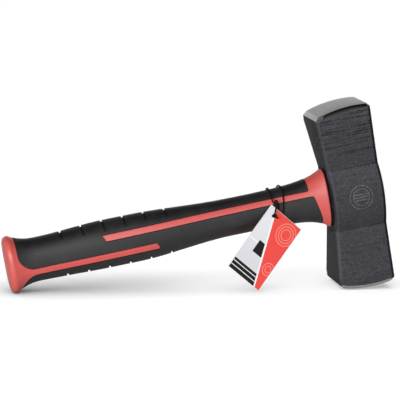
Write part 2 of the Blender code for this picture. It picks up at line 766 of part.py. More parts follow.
def make_tag(finish):
    """A card folded along its top edge, with one hole through both leaves; its origin is the hole."""
    half = TAG_FOLD_GAP / 2
    outer = half + TAG_LEAF
    top = TAG_HOLE_DOWN
    foot = top - TAG_HEIGHT
    spread = TAG_OPENING - TAG_FOLD_GAP
    fold = top - outer
    steps = 6
    outline = [Vector((-half, foot)), Vector((-outer, foot))]
    for k in range(steps + 1):
        angle = math.pi * k / steps
        outline.append(Vector((-outer * math.cos(angle), fold + outer * math.sin(angle))))
    outline += [Vector((outer + spread, foot)), Vector((half + spread, foot))]
    for k in range(steps + 1):
        angle = math.pi * k / steps
        outline.append(Vector((half * math.cos(angle), fold + half * math.sin(angle))))
    sides = (-TAG_HOLE_IN, TAG_WIDTH - TAG_HOLE_IN)
    rings = [[Vector((x, y, z)) for y, z in outline] for x in sides]
    tag = loft("tag", rings, finish)
    count = 24
    turn = [2 * math.pi * k / count for k in range(count)]
    rings = [
        [Vector((math.cos(a) * TAG_HOLE_RADIUS, y, math.sin(a) * TAG_HOLE_RADIUS)) for a in turn]
        for y in (-HOLE_PAST, HOLE_PAST)
    ]
    hole = loft("tag_hole", rings)
    boolean(tag, hole, "DIFFERENCE")
    return tag, hole


def hang_tag(hammer, black, card):
    """Hangs the loop on the string round the neck, and the tag on the loop."""
    pivot = bpy.data.objects.new("tag_pivot", None)
    bpy.context.scene.collection.objects.link(pivot)
    place = hammer.matrix_world @ Vector((SEAT_X - PIVOT_AT, -PIVOT_OUT, PIVOT_UP))
    pivot.matrix_world = Matrix.Translation(place) @ Matrix.Rotation(TAG_YAW, 4, "Z")
    knot, knot_parts = make_knot(black)
    tag, hole = make_tag(card)
    for thing in (knot, *knot_parts):
        thing.parent = pivot
    for thing in (tag, hole):
        thing.parent = pivot
        thing.location = (-TAG_SHIFT, 0.0, -TAG_DROP)
        thing.rotation_euler = (0.0, TAG_ROLL, 0.0)


def main():
    clear_scene()
    steel = material("forged_steel", (0.055, 0.055, 0.060), 0.55, 0.6)
    red = material("red_polypropylene", (0.72, 0.10, 0.09), 0.38)
    black = material("black_soft_grip", (0.035, 0.035, 0.037), 0.62)
    glass = material("fibreglass", (0.60, 0.52, 0.33), 0.55)
    epoxy = material("dark_resin", (0.05, 0.045, 0.04), 0.35)
    thread = material("black_string", (0.02, 0.02, 0.022), 0.85)
    card = material("printed_card", (0.78, 0.78, 0.80), 0.45)

    hammer = bpy.data.objects.new("hammer_axis", None)
    bpy.context.scene.collection.objects.link(hammer)
    hammer.matrix_world = leaning_matrix()
    make_head(steel)
    make_resin(epoxy)
    make_core(glass)
    make_jacket(red)
    make_grip(black)
    make_wraps(thread)
    for thing in bpy.data.objects:
        if thing is not hammer:
            thing.parent = hammer
    hang_tag(hammer, thread, card)


main()
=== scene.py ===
"""The looks of a short-handled club hammer with a two-colour moulded handle and a card tag.

Metres, +Z up. Each form is built in the hammer's own upright frame, with x along the handle towards the
head, z along the head and the eye at the origin, or in the card's own frame, and then put in its place.
"""

import math

import bmesh
import bpy
from mathutils import Matrix, Vector


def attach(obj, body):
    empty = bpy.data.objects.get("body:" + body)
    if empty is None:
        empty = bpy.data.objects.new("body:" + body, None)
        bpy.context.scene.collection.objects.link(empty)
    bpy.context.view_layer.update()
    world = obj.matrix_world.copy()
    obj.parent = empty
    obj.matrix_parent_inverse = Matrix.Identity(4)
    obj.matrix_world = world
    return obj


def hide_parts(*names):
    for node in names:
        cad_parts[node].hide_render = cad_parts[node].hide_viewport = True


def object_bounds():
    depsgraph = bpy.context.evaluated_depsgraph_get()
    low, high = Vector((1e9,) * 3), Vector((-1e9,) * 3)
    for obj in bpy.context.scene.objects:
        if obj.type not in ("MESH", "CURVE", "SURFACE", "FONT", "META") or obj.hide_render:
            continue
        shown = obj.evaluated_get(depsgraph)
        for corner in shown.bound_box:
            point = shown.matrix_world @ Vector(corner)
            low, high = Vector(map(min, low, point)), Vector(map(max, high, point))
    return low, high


# Sizes that the solids share
GAP = 0.0003
UPPER_FACE_AT, LOWER_FACE_AT = 0.0719, 0.0710
END_BACK, END_FRONT, END_HALF_THICKNESS, END_DEPTH = 0.0229, 0.0204, 0.0207, 0.010
PINCH_HEIGHT, PINCH_BACK, PINCH_FRONT, PINCH_HALF_THICKNESS = 0.0235, 0.0189, 0.0215, 0.0160
BOSS_BACK, BOSS_FRONT, BOSS_HALF_THICKNESS = 0.0194, 0.0226, 0.0192
BACK_FLAT_HALF, BACK_EDGE_DROP = 0.0126, 0.0016
END_EDGE_BEVEL, CHEEK_EDGE_BEVEL, FRONT_EDGE_ROUND = 0.0014, 0.0007, 0.0030
FACE_BEVEL, FACE_BEVEL_BACK, FACE_BEVEL_CHEEK, FACE_BEVEL_FRONT = 0.0018, 0.0027, 0.0016, 0.0024
CORNER_REACH, CORNER_DROP = 0.0034, 0.0009
CROWN_RADIUS, UPPER_CROWN_CENTRE, LOWER_CROWN_CENTRE, CROWN_SIDE_RADIUS = 0.088, 0.0078, 0.0015, 0.170
EYE_HEIGHT, EYE_WIDTH, EYE_FLARE = 0.0310, 0.0200, 0.0015
CORE_HEIGHT, CORE_WIDTH, CORE_CORNER = 0.0170, 0.0125, 0.0035
CORE_IN_HANDLE, RESIN_RECESS, CORE_RECESS, BORE_CLEARANCE = 0.205, 0.0012, 0.0004, 0.0003
HANDLE_LENGTH, BUTT_ROUND, LIP_ROUND, SECTION_POWER = 0.2489, 0.0042, 0.0014, 2.35
POMMEL = (0.0208, 0.0226, 0.0160)  # each of these is the top, bottom and half depth of a section
THROAT = (0.0156, 0.0172, 0.0126)
GRIP = (0.0182, 0.0180, 0.0142)
NECK = (0.0154, 0.0129, 0.0119)
LIP = (0.0246, 0.0225, 0.0140)
POMMEL_AT, THROAT_AT, GRIP_FROM, GRIP_TO = 0.0050, 0.0250, 0.0780, 0.0980
NECK_FROM, NECK_TO = 0.0770, 0.0653
JACKET_WALL_OUT, STRIPE_RECESS = 0.0026, 0.00025
CAP_LENGTH, CAP_UPPER_CORNER, CAP_LOWER_CORNER = 0.0086, 0.0125, 0.0140
STRIPE_WIDTH, STRIPE_SLANT, STRIPE_TIP_ROUND = 0.0047, 0.0026, 0.0004
LOWER_STRIPE_LENGTH, LOWER_STRIPE_ROOT, LOWER_STRIPE_TIP = 0.1140, -0.0079, -0.0066
UPPER_STRIPE_LENGTH, UPPER_STRIPE_ROOT, UPPER_STRIPE_TIP = 0.1742, 0.0087, 0.0070
UPPER_STRIPE_ROOT_WIDTH = 0.0041
COLLAR_TOP_LENGTH, COLLAR_MIDDLE_LENGTH, COLLAR_BOTTOM_LENGTH = 0.0147, 0.0115, 0.0066
COLLAR_UPPER_CORNER, COLLAR_LOWER_CORNER, COLLAR_SWEEP = 0.0014, 0.0010, 0.0200
GROOVE_COUNT, GROOVE_PITCH, FIRST_GROOVE_AT = 6, 0.01605, 0.0442
GROOVE_WIDTH, GROOVE_DEPTH, GROOVE_PAST = 0.0022, 0.0013, 0.002
UPPER_GROOVE_REACH, LOWER_GROOVE_REACH = 0.0042, 0.0034
STRING_DIAMETER = 0.0013
PIVOT_AT, PIVOT_OUT, PIVOT_UP = 0.0422, 0.0164, 0.0084
LOOP_TOP_RADIUS, LOOP_BOTTOM_RADIUS = 0.0019, 0.00155
TAG_WIDTH, TAG_HEIGHT, TAG_LEAF, TAG_FOLD_GAP, TAG_OPENING = 0.0331, 0.0568, 0.0004, 0.0004, 0.0012
TAG_HOLE_RADIUS, TAG_HOLE_IN, TAG_HOLE_DOWN = 0.0015, 0.0066, 0.0058
TAG_ROLL, TAG_YAW, TAG_DROP, TAG_SHIFT = math.radians(38.7), math.radians(15.0), 0.0097, 0.0021
PAST = 0.010
SEAT_X = -(BOSS_BACK + GAP)
BUTT_X = SEAT_X - HANDLE_LENGTH
STRING_RADIUS = STRING_DIAMETER / 2

# How finely the looks follow those sizes
SIDES, STATION_STEPS, STATION_CROWDING = 80, 110, 9
BUTT_STEPS, LIP_STEPS, GROOVE_STEPS = 9, 5, 24
CHEEK_STEPS, FRONT_EDGE_STEPS, CROWN_RINGS, WAIST_RINGS = 14, 8, 8, 16
EYE_SIDES, EYE_STEPS, RESIN_STEPS, CORE_CORNER_STEPS = 56, 8, 12, 8
CAP_CORNER_STEPS, COLLAR_CORNER_STEPS = 16, 8
CARD_ROWS, CARD_COLUMNS, FOLD_STEPS, HOLE_SIDES = 24, 6, 16, 40
ROUTE_STEPS, HALF_TURN_STEPS, KNOT_STEPS = 12, 8, 48
BEVEL_CORNER = (0.0, 0.4, 0.8)  # how far along each back corner the rim inside the bevel has points
# Degrees past which an edge stays sharp, and past which the head's edges are worn round
HEAD_CREASE, FACE_CREASE, HANDLE_CREASE, STRING_CREASE, WORN_OVER = 22, 24, 35, 60, 18
SHARPEST = 0.4  # a corner's offset grows no further than for this cosine
FIRST_FALL = 2.5  # how quickly the pommel falls away to the throat
EYE_POWER, EYE_CUT_PAST, CORE_CHAMFER = 0.9, 0.004, 0.0002
EDGE_SOFTNESS = 0.0003  # the worn round on the head's forged edges
CHEEK_BEVEL_DROP = 0.0006  # how much further the ground bevel runs down the cheeks
ETCHED_RINGS, ETCHED_BARS, ETCHED_LINE = (0.0090, 0.0064), (0.0022, 0.0, -0.0022), 0.0004
ETCHED_AT = 0.0035
COLLAR_SHADE = 0.0016  # how far the painted shadow round the collar spreads on the head
SEAM = 0.00025  # how much wider than its gap the dark line round the red shows
LONGEST_GROOVE = 1.6  # the grooves' painted shade runs lower the nearer they are to this place in their row
HOLE_ENDS = (-0.004, 0.004)

# How the string is laid and knotted
PLIES, PLY_SIDES = 3, 8
PLY_OFF = 1.1547  # from the string's middle to a ply's, in radii of the ply
LAY_LENGTH, LAY_SPACING = 7.0, 0.55  # one turn of the plies and a step along it, in the string's radii
KNOT_SIZE, KNOT_STRING_RADIUS = (0.00044, 0.00042, 0.00038), 0.00052
KNOT_UP, KNOT_OUT, END_BOW = 0.0003, 0.0010, 0.0003
STRING_ENDS = (("end_left", (-0.0026, -0.0004, -0.0002)), ("end_right", (0.0024, -0.0006, -0.0019)))

# Where the hammer stands
LEAN = math.radians(10.641052)
EYE_AT = Vector((0.11722983, 0.0, 0.07069854))

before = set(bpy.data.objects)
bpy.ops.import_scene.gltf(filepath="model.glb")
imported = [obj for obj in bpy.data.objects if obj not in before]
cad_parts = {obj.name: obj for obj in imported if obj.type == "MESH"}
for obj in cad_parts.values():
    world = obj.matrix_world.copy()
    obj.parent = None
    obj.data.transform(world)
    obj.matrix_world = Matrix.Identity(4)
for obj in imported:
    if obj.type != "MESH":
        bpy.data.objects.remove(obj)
cad_lo, cad_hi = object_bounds()
scene = bpy.context.scene
hammer_place = Matrix.Translation(EYE_AT) @ Matrix.Rotation(-LEAN, 4, "Y")
pivot_place = Matrix.Translation(hammer_place @ Vector((SEAT_X - PIVOT_AT, -PIVOT_OUT, PIVOT_UP)))
pivot_place = pivot_place @ Matrix.Rotation(TAG_YAW, 4, "Z")
tag_place = (
    pivot_place @ Matrix.Translation((-TAG_SHIFT, 0.0, -TAG_DROP)) @ Matrix.Rotation(TAG_ROLL, 4, "Y")
)


# Node trees


class Value:
    """A number socket that takes part in Python arithmetic by adding Math nodes."""

    def __init__(self, nodes, socket):
        self.nodes, self.socket = nodes, socket

    def maths(self, operation, *others, clamp=False):
        return self.nodes.maths(operation, self, *others, clamp=clamp)

    def __add__(self, other):
        return self.maths("ADD", other)

    def __sub__(self, other):
        return self.maths("SUBTRACT", other)

    def __mul__(self, other):
        return self.maths("MULTIPLY", other)

    def __truediv__(self, other):
        return self.maths("DIVIDE", other)

    def __pow__(self, other):
        return self.maths("POWER", other)

    def __abs__(self):
        return self.maths("ABSOLUTE")

    def __rsub__(self, other):
        return self.nodes.maths("SUBTRACT", other, self)

    __radd__, __rmul__ = __add__, __mul__

    def clamped(self, share=1.0):
        """This share of it, kept between 0 and 1."""
        return self.maths("MULTIPLY", share, clamp=True)

    def about(self, amount):
        """A pattern that runs from 0 to 1, as one that swings about 0 by this amount in all."""
        return (self - 0.5) * amount

    def ramp(self, low, high):
        """0 at low, 1 at high, smooth between; the ends may be given in either order."""
        if low > high:
            return 1.0 - self.ramp(high, low)
        inputs = {"Value": self, "From Min": low, "From Max": high}
        return self.nodes.add("ShaderNodeMapRange", inputs, interpolation_type="SMOOTHSTEP")["Result"]

    def near(self, at, outer, inner):
        """1 within inner of this value, 0 past outer."""
        return abs(self - at).ramp(outer, inner)


class Nodes:
    """A node tree, to which nodes are added by their type."""

    def __init__(self, tree):
        self.tree = tree

    def add(self, kind, inputs=None, **settings):
        """A node of this type, as its outputs by name; its settings are made before its inputs."""
        node = self.tree.nodes.new(kind)
        for key, value in settings.items():
            setattr(node, key, value)
        for key, value in (inputs or {}).items():
            self.feed(node.inputs[key], value)
        return {output.name: Value(self, output) for output in node.outputs if output.enabled}

    def feed(self, socket, value):
        """A link, several links as a list, or a plain value."""
        if isinstance(value, list):
            for one in value:
                self.feed(socket, one)
        elif isinstance(value, Value):
            self.tree.links.new(value.socket, socket)
        elif socket.type == "RGBA" and len(value) == 3:
            socket.default_value = (*value, 1.0)
        else:
            socket.default_value = value

    def maths(self, operation, *values, clamp=False):
        inputs = dict(enumerate(values))
        return self.add("ShaderNodeMath", inputs, operation=operation, use_clamp=clamp)["Value"]

    def vector(self, operation, first, second):
        """The two vectors combined; SCALE takes a number second, and DOT_PRODUCT gives one."""
        inputs = {0: first, "Scale" if operation == "SCALE" else 1: second}
        made = self.add("ShaderNodeVectorMath", inputs, operation=operation)
        return made["Value" if operation == "DOT_PRODUCT" else "Vector"]


class Finish(Nodes):
    """A procedural material on the Principled shader."""

    def __init__(self, name, **constants):
        self.material = bpy.data.materials.new(name)
        self.material.use_nodes = True
        super().__init__(self.material.node_tree)
        self.shader = self.tree.nodes["Principled BSDF"]
        self.wear(**constants)

    def wear(self, **links):
        """Sets or links the shader's inputs, named with _ for each space, and returns the material."""
        for key, value in links.items():
            self.feed(self.shader.inputs[key.replace("_", " ")], value)
        return self.material

    def mix(self, share, first, second):
        """Two colours mixed, as a colour."""
        return self.add("ShaderNodeMix", {0: share, 6: first, 7: second}, data_type="RGBA")["Result"]

    def noise(self, where, scale, detail, roughness):
        inputs = {"Vector": where, "Scale": scale, "Detail": detail, "Roughness": roughness}
        return self.add("ShaderNodeTexNoise", inputs)["Fac"]

    def placed(self, matrix, stretch=(1.0, 1.0, 1.0)):
        """Object coordinates seen from this place, as (vector, x, y, z)."""
        inverse = matrix.inverted()
        where = self.add("ShaderNodeTexCoord")["Object"]
        turn = {"Vector": where, "Location": inverse.translation, "Rotation": inverse.to_euler()}
        seen = self.vector("MULTIPLY", self.add("ShaderNodeMapping", turn)["Vector"], stretch)
        return (seen, *self.add("ShaderNodeSeparateXYZ", {"Vector": seen}).values())

    def facing(self, direction):
        """How far the surface faces this way, from -1 to 1, whatever the pose."""
        world = self.add("ShaderNodeNewGeometry")["Normal"]
        settings = {"vector_type": "NORMAL", "convert_from": "WORLD", "convert_to": "OBJECT"}
        own = self.add("ShaderNodeVectorTransform", {"Vector": world}, **settings)["Vector"]
        return self.vector("DOT_PRODUCT", own, direction)

    def bump(self, height, distance, strength):
        inputs = {"Height": height, "Distance": distance, "Strength": strength}
        return self.add("ShaderNodeBump", inputs)["Normal"]


# Mesh building


def linked(name, data):
    """A new object in the scene."""
    made = bpy.data.objects.new(name, data)
    scene.collection.objects.link(made)
    return made


def object_from(name, points, faces, smooth_angle=30, slots=None):
    """A closed mesh object with its faces turned outwards."""
    mesh = bpy.data.meshes.new(name)
    mesh.from_pydata([tuple(point) for point in points], [], faces)
    if slots:
        mesh.polygons.foreach_set("material_index", slots)
    shape = bmesh.new()
    shape.from_mesh(mesh)
    bmesh.ops.recalc_face_normals(shape, faces=shape.faces)
    shape.to_mesh(mesh)
    shape.free()
    mesh.shade_smooth()
    mesh.set_sharp_from_angle(angle=math.radians(smooth_angle))
    return linked(name, mesh)


def loft(name, rings, smooth_angle=30, slot_at=None):
    """A solid over closed rings of one count, with flat ends; slot_at(row, column) picks a material."""
    count = len(rings[0])
    points = [point for ring in rings for point in ring]
    faces = [tuple(range(count)), tuple(range(len(points) - count, len(points)))]
    slots = [slot_at(0, 0), slot_at(len(rings) - 2, 0)] if slot_at else None
    for row in range(len(rings) - 1):
        for i in range(count):
            j = (i + 1) % count
            near, far = row * count, (row + 1) * count
            faces.append((near + i, near + j, far + j, far + i))
            if slot_at:
                slots.append(slot_at(row, i))
    return object_from(name, points, faces, smooth_angle, slots)


def prism(name, outline, half_depth):
    """An (x, z) outline drawn out to both sides of the middle plane."""
    rings = [[Vector((x, y, z)) for x, z in outline] for y in (-half_depth, half_depth)]
    return loft(name, rings)


tools = []


def boolean(target, tool, operation):
    """The tool's cut, union or intersection, left live on the target; the tool is removed at the end."""
    change = target.modifiers.new(f"{operation.lower()}_{tool.name}", "BOOLEAN")
    change.operation = operation
    change.solver = "EXACT"
    change.object = tool
    tools.append(tool)


def settled(made, place, smooth_angle=30, materials=()):
    """The object with its modifiers made real and its place in its mesh."""
    graph = bpy.context.evaluated_depsgraph_get()
    mesh = bpy.data.meshes.new_from_object(made.evaluated_get(graph))
    made.modifiers.clear()
    made.data = mesh
    mesh.transform(place)
    for index, material in enumerate(materials):
        if index < len(mesh.materials):
            mesh.materials[index] = material
        else:
            mesh.materials.append(material)
    mesh.shade_smooth()
    mesh.set_sharp_from_angle(angle=math.radians(smooth_angle))
    return made


def within_box(made):
    """Its points drawn back onto the box of the solids, which its finer curves pass by 0.1 mm."""
    for point in made.data.vertices:
        point.co = [min(max(at, low), high) for at, low, high in zip(point.co, cad_lo, cad_hi)]
    return made


def between(table, x):
    """Values at x from (x, value, ...) rows: a quick fall from the first row, then smooth steps."""
    if x <= table[0][0]:
        return table[0][1:]
    for low, high in zip(table, table[1:]):
        if x <= high[0]:
            t = (x - low[0]) / (high[0] - low[0])
            share = 1 - (1 - t) ** FIRST_FALL if low is table[0] else t * t * (3 - 2 * t)
            return tuple(a + (b - a) * share for a, b in zip(low[1:], high[1:]))
    return table[-1][1:]


def rounded(corners, steps):
    """An outline whose (x, z, radius) corners are replaced by arcs."""
    outline = []
    count = len(corners)
    for i, (x, z, radius) in enumerate(corners):
        here = Vector((x, z))
        before = Vector(corners[i - 1][:2]) - here
        after = Vector(corners[(i + 1) % count][:2]) - here
        if radius <= 0:
            outline.append(here)
            continue
        half = before.angle(after) / 2
        tangent = radius / math.tan(half)
        centre = here + (before.normalized() + after.normalized()).normalized() * radius / math.sin(half)
        start = here + before.normalized() * tangent - centre
        turn = start.angle_signed(here + after.normalized() * tangent - centre)
        for k in range(steps + 1):
            outline.append(centre + Matrix.Rotation(-turn * k / steps, 2) @ start)
    return outline


def grown(outline, distance):
    """The outline moved outwards by this distance; a negative distance shrinks it."""
    count = len(outline)
    area = sum(outline[i - 1].cross(outline[i]) for i in range(count))
    side = math.copysign(1.0, area)
    moved = []
    for i in range(count):
        before = (outline[i] - outline[i - 1]).normalized()
        after = (outline[(i + 1) % count] - outline[i]).normalized()
        normals = [Vector((edge.y, -edge.x)) * side for edge in (before, after)]
        middle = (normals[0] + normals[1]).normalized()
        moved.append(outline[i] + middle * distance / max(middle.dot(normals[0]), SHARPEST))
    return moved


# Head

# Height above the eye, back, back edge, flat half width, half thickness and front: at the eye, at the
# pinch above it and where an end begins
HEAD_TABLE = (
    (0.0, BOSS_BACK, BOSS_BACK - BACK_EDGE_DROP * 1.5, BACK_FLAT_HALF, BOSS_HALF_THICKNESS, BOSS_FRONT),
    (
        PINCH_HEIGHT,
        PINCH_BACK,
        PINCH_BACK - BACK_EDGE_DROP,
        BACK_FLAT_HALF,
        PINCH_HALF_THICKNESS,
        PINCH_FRONT,
    ),
    (
        LOWER_FACE_AT - FACE_BEVEL - END_DEPTH,
        END_BACK,
        END_BACK - END_EDGE_BEVEL,
        END_HALF_THICKNESS - END_EDGE_BEVEL,
        END_HALF_THICKNESS,
        END_FRONT,
    ),
)


def head_sizes(height):
    """The head's back, back edge, flat half width, half thickness and front, this high above the eye."""
    height = abs(height)
    eye, pinch, end = HEAD_TABLE
    if height <= pinch[0]:
        share = 1 - (height / pinch[0]) ** 2
        return [waist + (boss - waist) * share for boss, waist in zip(eye[1:], pinch[1:])]
    share = min((height - pinch[0]) / (end[0] - pinch[0]), 1.0)
    return [waist + (wide - waist) * share for waist, wide in zip(pinch[1:], end[1:])]


def head_outline(sizes, bevelled=False):
    """(x, y) corners of the head's cross-section, or of the rim inside its bevel."""
    back, back_edge, flat, half, front = sizes
    if bevelled:
        back, back_edge = back - FACE_BEVEL_BACK, back_edge - FACE_BEVEL_BACK
        flat, half = flat - FACE_BEVEL_CHEEK, half - FACE_BEVEL_CHEEK
        front -= FACE_BEVEL_FRONT
    corner, cheek = Vector((-back, flat)), Vector((CORNER_REACH - back_edge, half))
    if bevelled:
        side = [corner.lerp(cheek, share) for share in BEVEL_CORNER]
    else:
        edge = half - CHEEK_EDGE_BEVEL
        side = [corner, Vector((-back_edge, edge)), Vector((CHEEK_EDGE_BEVEL - back_edge, half))]
    centre = Vector((front - FRONT_EDGE_ROUND, half - FRONT_EDGE_ROUND))
    cheek_end = Vector((centre.x, half))
    side += [cheek.lerp(cheek_end, k / CHEEK_STEPS) for k in range(CHEEK_STEPS)]
    for k in range(FRONT_EDGE_STEPS + 1):
        angle = math.pi / 2 * (1 - k / FRONT_EDGE_STEPS)
        side.append(centre + FRONT_EDGE_ROUND * Vector((math.cos(angle), math.sin(angle))))
    return side + [Vector((p.x, -p.y)) for p in reversed(side)]


def end_rings(face_at, crest):
    """Rings of one striking end, from its straight part over its bevel to the middle of its crown."""

    def on_crown(x, y):
        return face_at - (x - crest) ** 2 / (2 * CROWN_RADIUS) - y * y / (2 * CROWN_SIDE_RADIUS)

    start, *sizes = HEAD_TABLE[-1]
    outline = head_outline(sizes)
    shoulder = [Vector((p.x, p.y, on_crown(p.x, p.y) - FACE_BEVEL)) for p in outline]
    for k in (1, 2, -2, -3):  # the two points beside each back corner
        shoulder[k].z -= CORNER_DROP
    for k in range(3, 3 + CHEEK_STEPS):
        shoulder[k].z -= CHEEK_BEVEL_DROP
        shoulder[-1 - k].z -= CHEEK_BEVEL_DROP
    rings = [[Vector((p.x, p.y, start)) for p in outline], shoulder]
    middle = Vector(((END_FRONT - END_BACK) / 2, 0.0))
    rim = head_outline(sizes, bevelled=True)
    for step in range(CROWN_RINGS):
        ring = [middle.lerp(point, 1 - step / CROWN_RINGS) for point in rim]
        rings.append([Vector((p.x, p.y, on_crown(p.x, p.y))) for p in ring])
    return rings


def head_rings():
    """The whole head's rings, from the middle of its lower crown to the middle of its upper one."""
    waist = []
    for k in range(-WAIST_RINGS, WAIST_RINGS + 1):
        z = PINCH_HEIGHT * k / WAIST_RINGS
        waist.append([Vector((p.x, p.y, z)) for p in head_outline(head_sizes(z))])
    lower = end_rings(LOWER_FACE_AT, LOWER_CROWN_CENTRE)
    lower = [[Vector((p.x, p.y, -p.z)) for p in ring] for ring in reversed(lower)]
    return lower + waist + end_rings(UPPER_FACE_AT, UPPER_CROWN_CENTRE)


def squared(angle, power):
    """Cosine and sine with their sizes raised to this power; under 1, a circle fills out its square."""
    return [math.copysign(abs(part) ** power, part) for part in (math.cos(angle), math.sin(angle))]


def eye_ring(x, grow):
    """The eye's oval at this place, which flares towards both of its mouths."""
    share = abs(x) / max(BOSS_BACK, BOSS_FRONT)
    flare = EYE_FLARE * share * share + grow
    ring = []
    for k in range(EYE_SIDES):
        c, s = squared(2 * math.pi * k / EYE_SIDES, EYE_POWER)
        ring.append(Vector((x, c * (EYE_WIDTH / 2 + flare), s * (EYE_HEIGHT / 2 + flare))))
    return ring


def core_ring(x, grow):
    """The core's section, a rectangle with rounded corners."""
    half_y, half_z = CORE_WIDTH / 2 + grow, CORE_HEIGHT / 2 + grow
    corners = [(half_y, half_z), (-half_y, half_z), (-half_y, -half_z), (half_y, -half_z)]
    outline = rounded([(y, z, CORE_CORNER + grow) for y, z in corners], CORE_CORNER_STEPS)
    return [Vector((x, y, z)) for y, z in outline]


def core_bore(name, start, end):
    """The hole that the core fits, as a tool."""
    return loft(name, [core_ring(x, BORE_CLEARANCE) for x in (start, end)])


def make_head(materials):
    """The forging, with worn edges and its eye cut through."""
    rings = head_rings()
    rows, columns = len(rings) - 1, len(rings[0])

    def slot_at(row, column):
        """0 for lacquer, 1 for a crown, 2 for a bevel; the upper back corners keep their lacquer."""
        from_end = min(row, rows - 1 - row)
        if from_end < CROWN_RINGS - 1:
            return 1
        lacquered = row > rows / 2 and 0 <= min(column, columns - 2 - column) < len(BEVEL_CORNER)
        return 2 if from_end == CROWN_RINGS - 1 and not lacquered else 0

    head = loft("struck_head", rings, HEAD_CREASE, slot_at)
    for material in materials:
        head.data.materials.append(material)
    soften = head.modifiers.new("worn_edges", "BEVEL")
    soften.width = EDGE_SOFTNESS
    soften.segments = 3
    soften.limit_method = "ANGLE"
    soften.angle_limit = math.radians(WORN_OVER)
    reach = BOSS_FRONT + EYE_CUT_PAST
    places = [-reach + reach * k / EYE_STEPS for k in range(2 * EYE_STEPS + 1)]
    boolean(head, loft("eye_cutter", [eye_ring(x, 0.0) for x in places]), "DIFFERENCE")
    return settled(head, hammer_place, FACE_CREASE, materials)


def make_core(material):
    """The rod from inside the handle to the far mouth of the eye."""
    end = BOSS_FRONT - CORE_RECESS
    places = ((SEAT_X - CORE_IN_HANDLE, 0.0), (end - CORE_CHAMFER, 0.0), (end, -CORE_CHAMFER))
    rod = loft("glass_rod", [core_ring(*place) for place in places])
    return settled(rod, hammer_place, materials=[material])


def make_resin(material):
    """The filling between the rod and the eye."""
    start, end = -BOSS_BACK + GAP, BOSS_FRONT - RESIN_RECESS
    places = [start + (end - start) * k / RESIN_STEPS for k in range(RESIN_STEPS + 1)]
    resin = loft("poured_resin", [eye_ring(x, -GAP) for x in places])
    boolean(resin, core_bore("resin_bore", start - PAST, end + PAST), "DIFFERENCE")
    return settled(resin, hammer_place, materials=[material])


# Handle

# Place, top, bottom and half depth, from the pommel to the neck
HANDLE_TABLE = (
    (BUTT_X + POMMEL_AT, *POMMEL),
    (BUTT_X + THROAT_AT, *THROAT),
    (BUTT_X + GRIP_FROM, *GRIP),
    (BUTT_X + GRIP_TO, *GRIP),
    (SEAT_X - NECK_FROM, *NECK),
    (SEAT_X - NECK_TO, *NECK),
)
# How each of them widens from the neck to the lip: its size there, the share of the widening that
# starts at once, and the power by which the rest comes late
FLARES = ((LIP[0], 0.35, 6), (LIP[1], 0.15, 7), (LIP[2], 0.20, 6))


def handle_sizes(x):
    """Top, bottom and half depth of the handle's outer form at this place."""
    if x <= HANDLE_TABLE[-1][0]:
        return between(HANDLE_TABLE, x)
    t = (x - HANDLE_TABLE[-1][0]) / NECK_TO
    sizes = []
    for neck, (lip, slow, power) in zip(HANDLE_TABLE[-1][1:], FLARES):
        sizes.append(neck + (lip - neck) * (slow * t**2 + (1 - slow) * t**power))
    return tuple(sizes)


def handle_point(x, angle, inset):
    """A point this far below the handle's skin; the angle runs from -y over the top."""
    top, bottom, depth = handle_sizes(x)
    c, s = squared(angle, 2 / SECTION_POWER)
    return Vector((x, -c * (depth - inset), s * ((top if s > 0 else bottom) - inset)))


def handle_ring(x, inset):
    """The handle's section at this place, this far below its skin."""
    return [handle_point(x, 2 * math.pi * (k + 0.5) / SIDES, inset) for k in range(SIDES)]


def stations():
    """Places along the handle, closer together where its form turns quickly."""
    start, end = BUTT_X + BUTT_ROUND, SEAT_X - LIP_ROUND
    places = []
    for k in range(STATION_STEPS + 1):
        share = k / STATION_STEPS
        places.append(start + (end - start) * (share - math.sin(2 * math.pi * share) / STATION_CROWDING))
    return places


def handle_rings(inset):
    """Rings over the whole handle, with its rounded butt and lip."""
    places = stations()
    rings = []
    for k in range(BUTT_STEPS):
        angle = math.pi / 2 * k / BUTT_STEPS
        x = places[0] - (BUTT_ROUND - inset) * math.cos(angle)
        rings.append(handle_ring(x, inset + BUTT_ROUND * (1 - math.sin(angle))))
    rings += [handle_ring(x, inset) for x in places]
    for k in range(1, LIP_STEPS + 1):
        angle = math.pi / 2 * k / LIP_STEPS
        x = places[-1] + LIP_ROUND * math.sin(angle)
        rings.append(handle_ring(x, inset + LIP_ROUND * (1 - math.cos(angle))))
    return rings


def inner_form(name, inset, start, end):
    """The handle's form from start to end, this far below its skin."""
    places = [start] + [x for x in stations() if start < x < end] + [end]
    return loft(name, [handle_ring(x, inset) for x in places])


def lower_outline():
    """The butt cap and the stripe that runs out of it, as (x, z)."""
    cap = BUTT_X + CAP_LENGTH
    end = BUTT_X + LOWER_STRIPE_LENGTH
    half = STRIPE_WIDTH / 2
    return rounded(
        [
            (BUTT_X - PAST, POMMEL[0] + PAST, 0),
            (cap, POMMEL[0] + PAST, 0),
            (cap, LOWER_STRIPE_ROOT + half, CAP_UPPER_CORNER),
            (end - STRIPE_SLANT / 2, LOWER_STRIPE_TIP + half, STRIPE_TIP_ROUND),
            (end + STRIPE_SLANT / 2, LOWER_STRIPE_TIP - half, STRIPE_TIP_ROUND),
            (cap, LOWER_STRIPE_ROOT - half, CAP_LOWER_CORNER),
            (cap, -POMMEL[1] - PAST, 0),
            (BUTT_X - PAST, -POMMEL[1] - PAST, 0),
        ],
        CAP_CORNER_STEPS,
    )


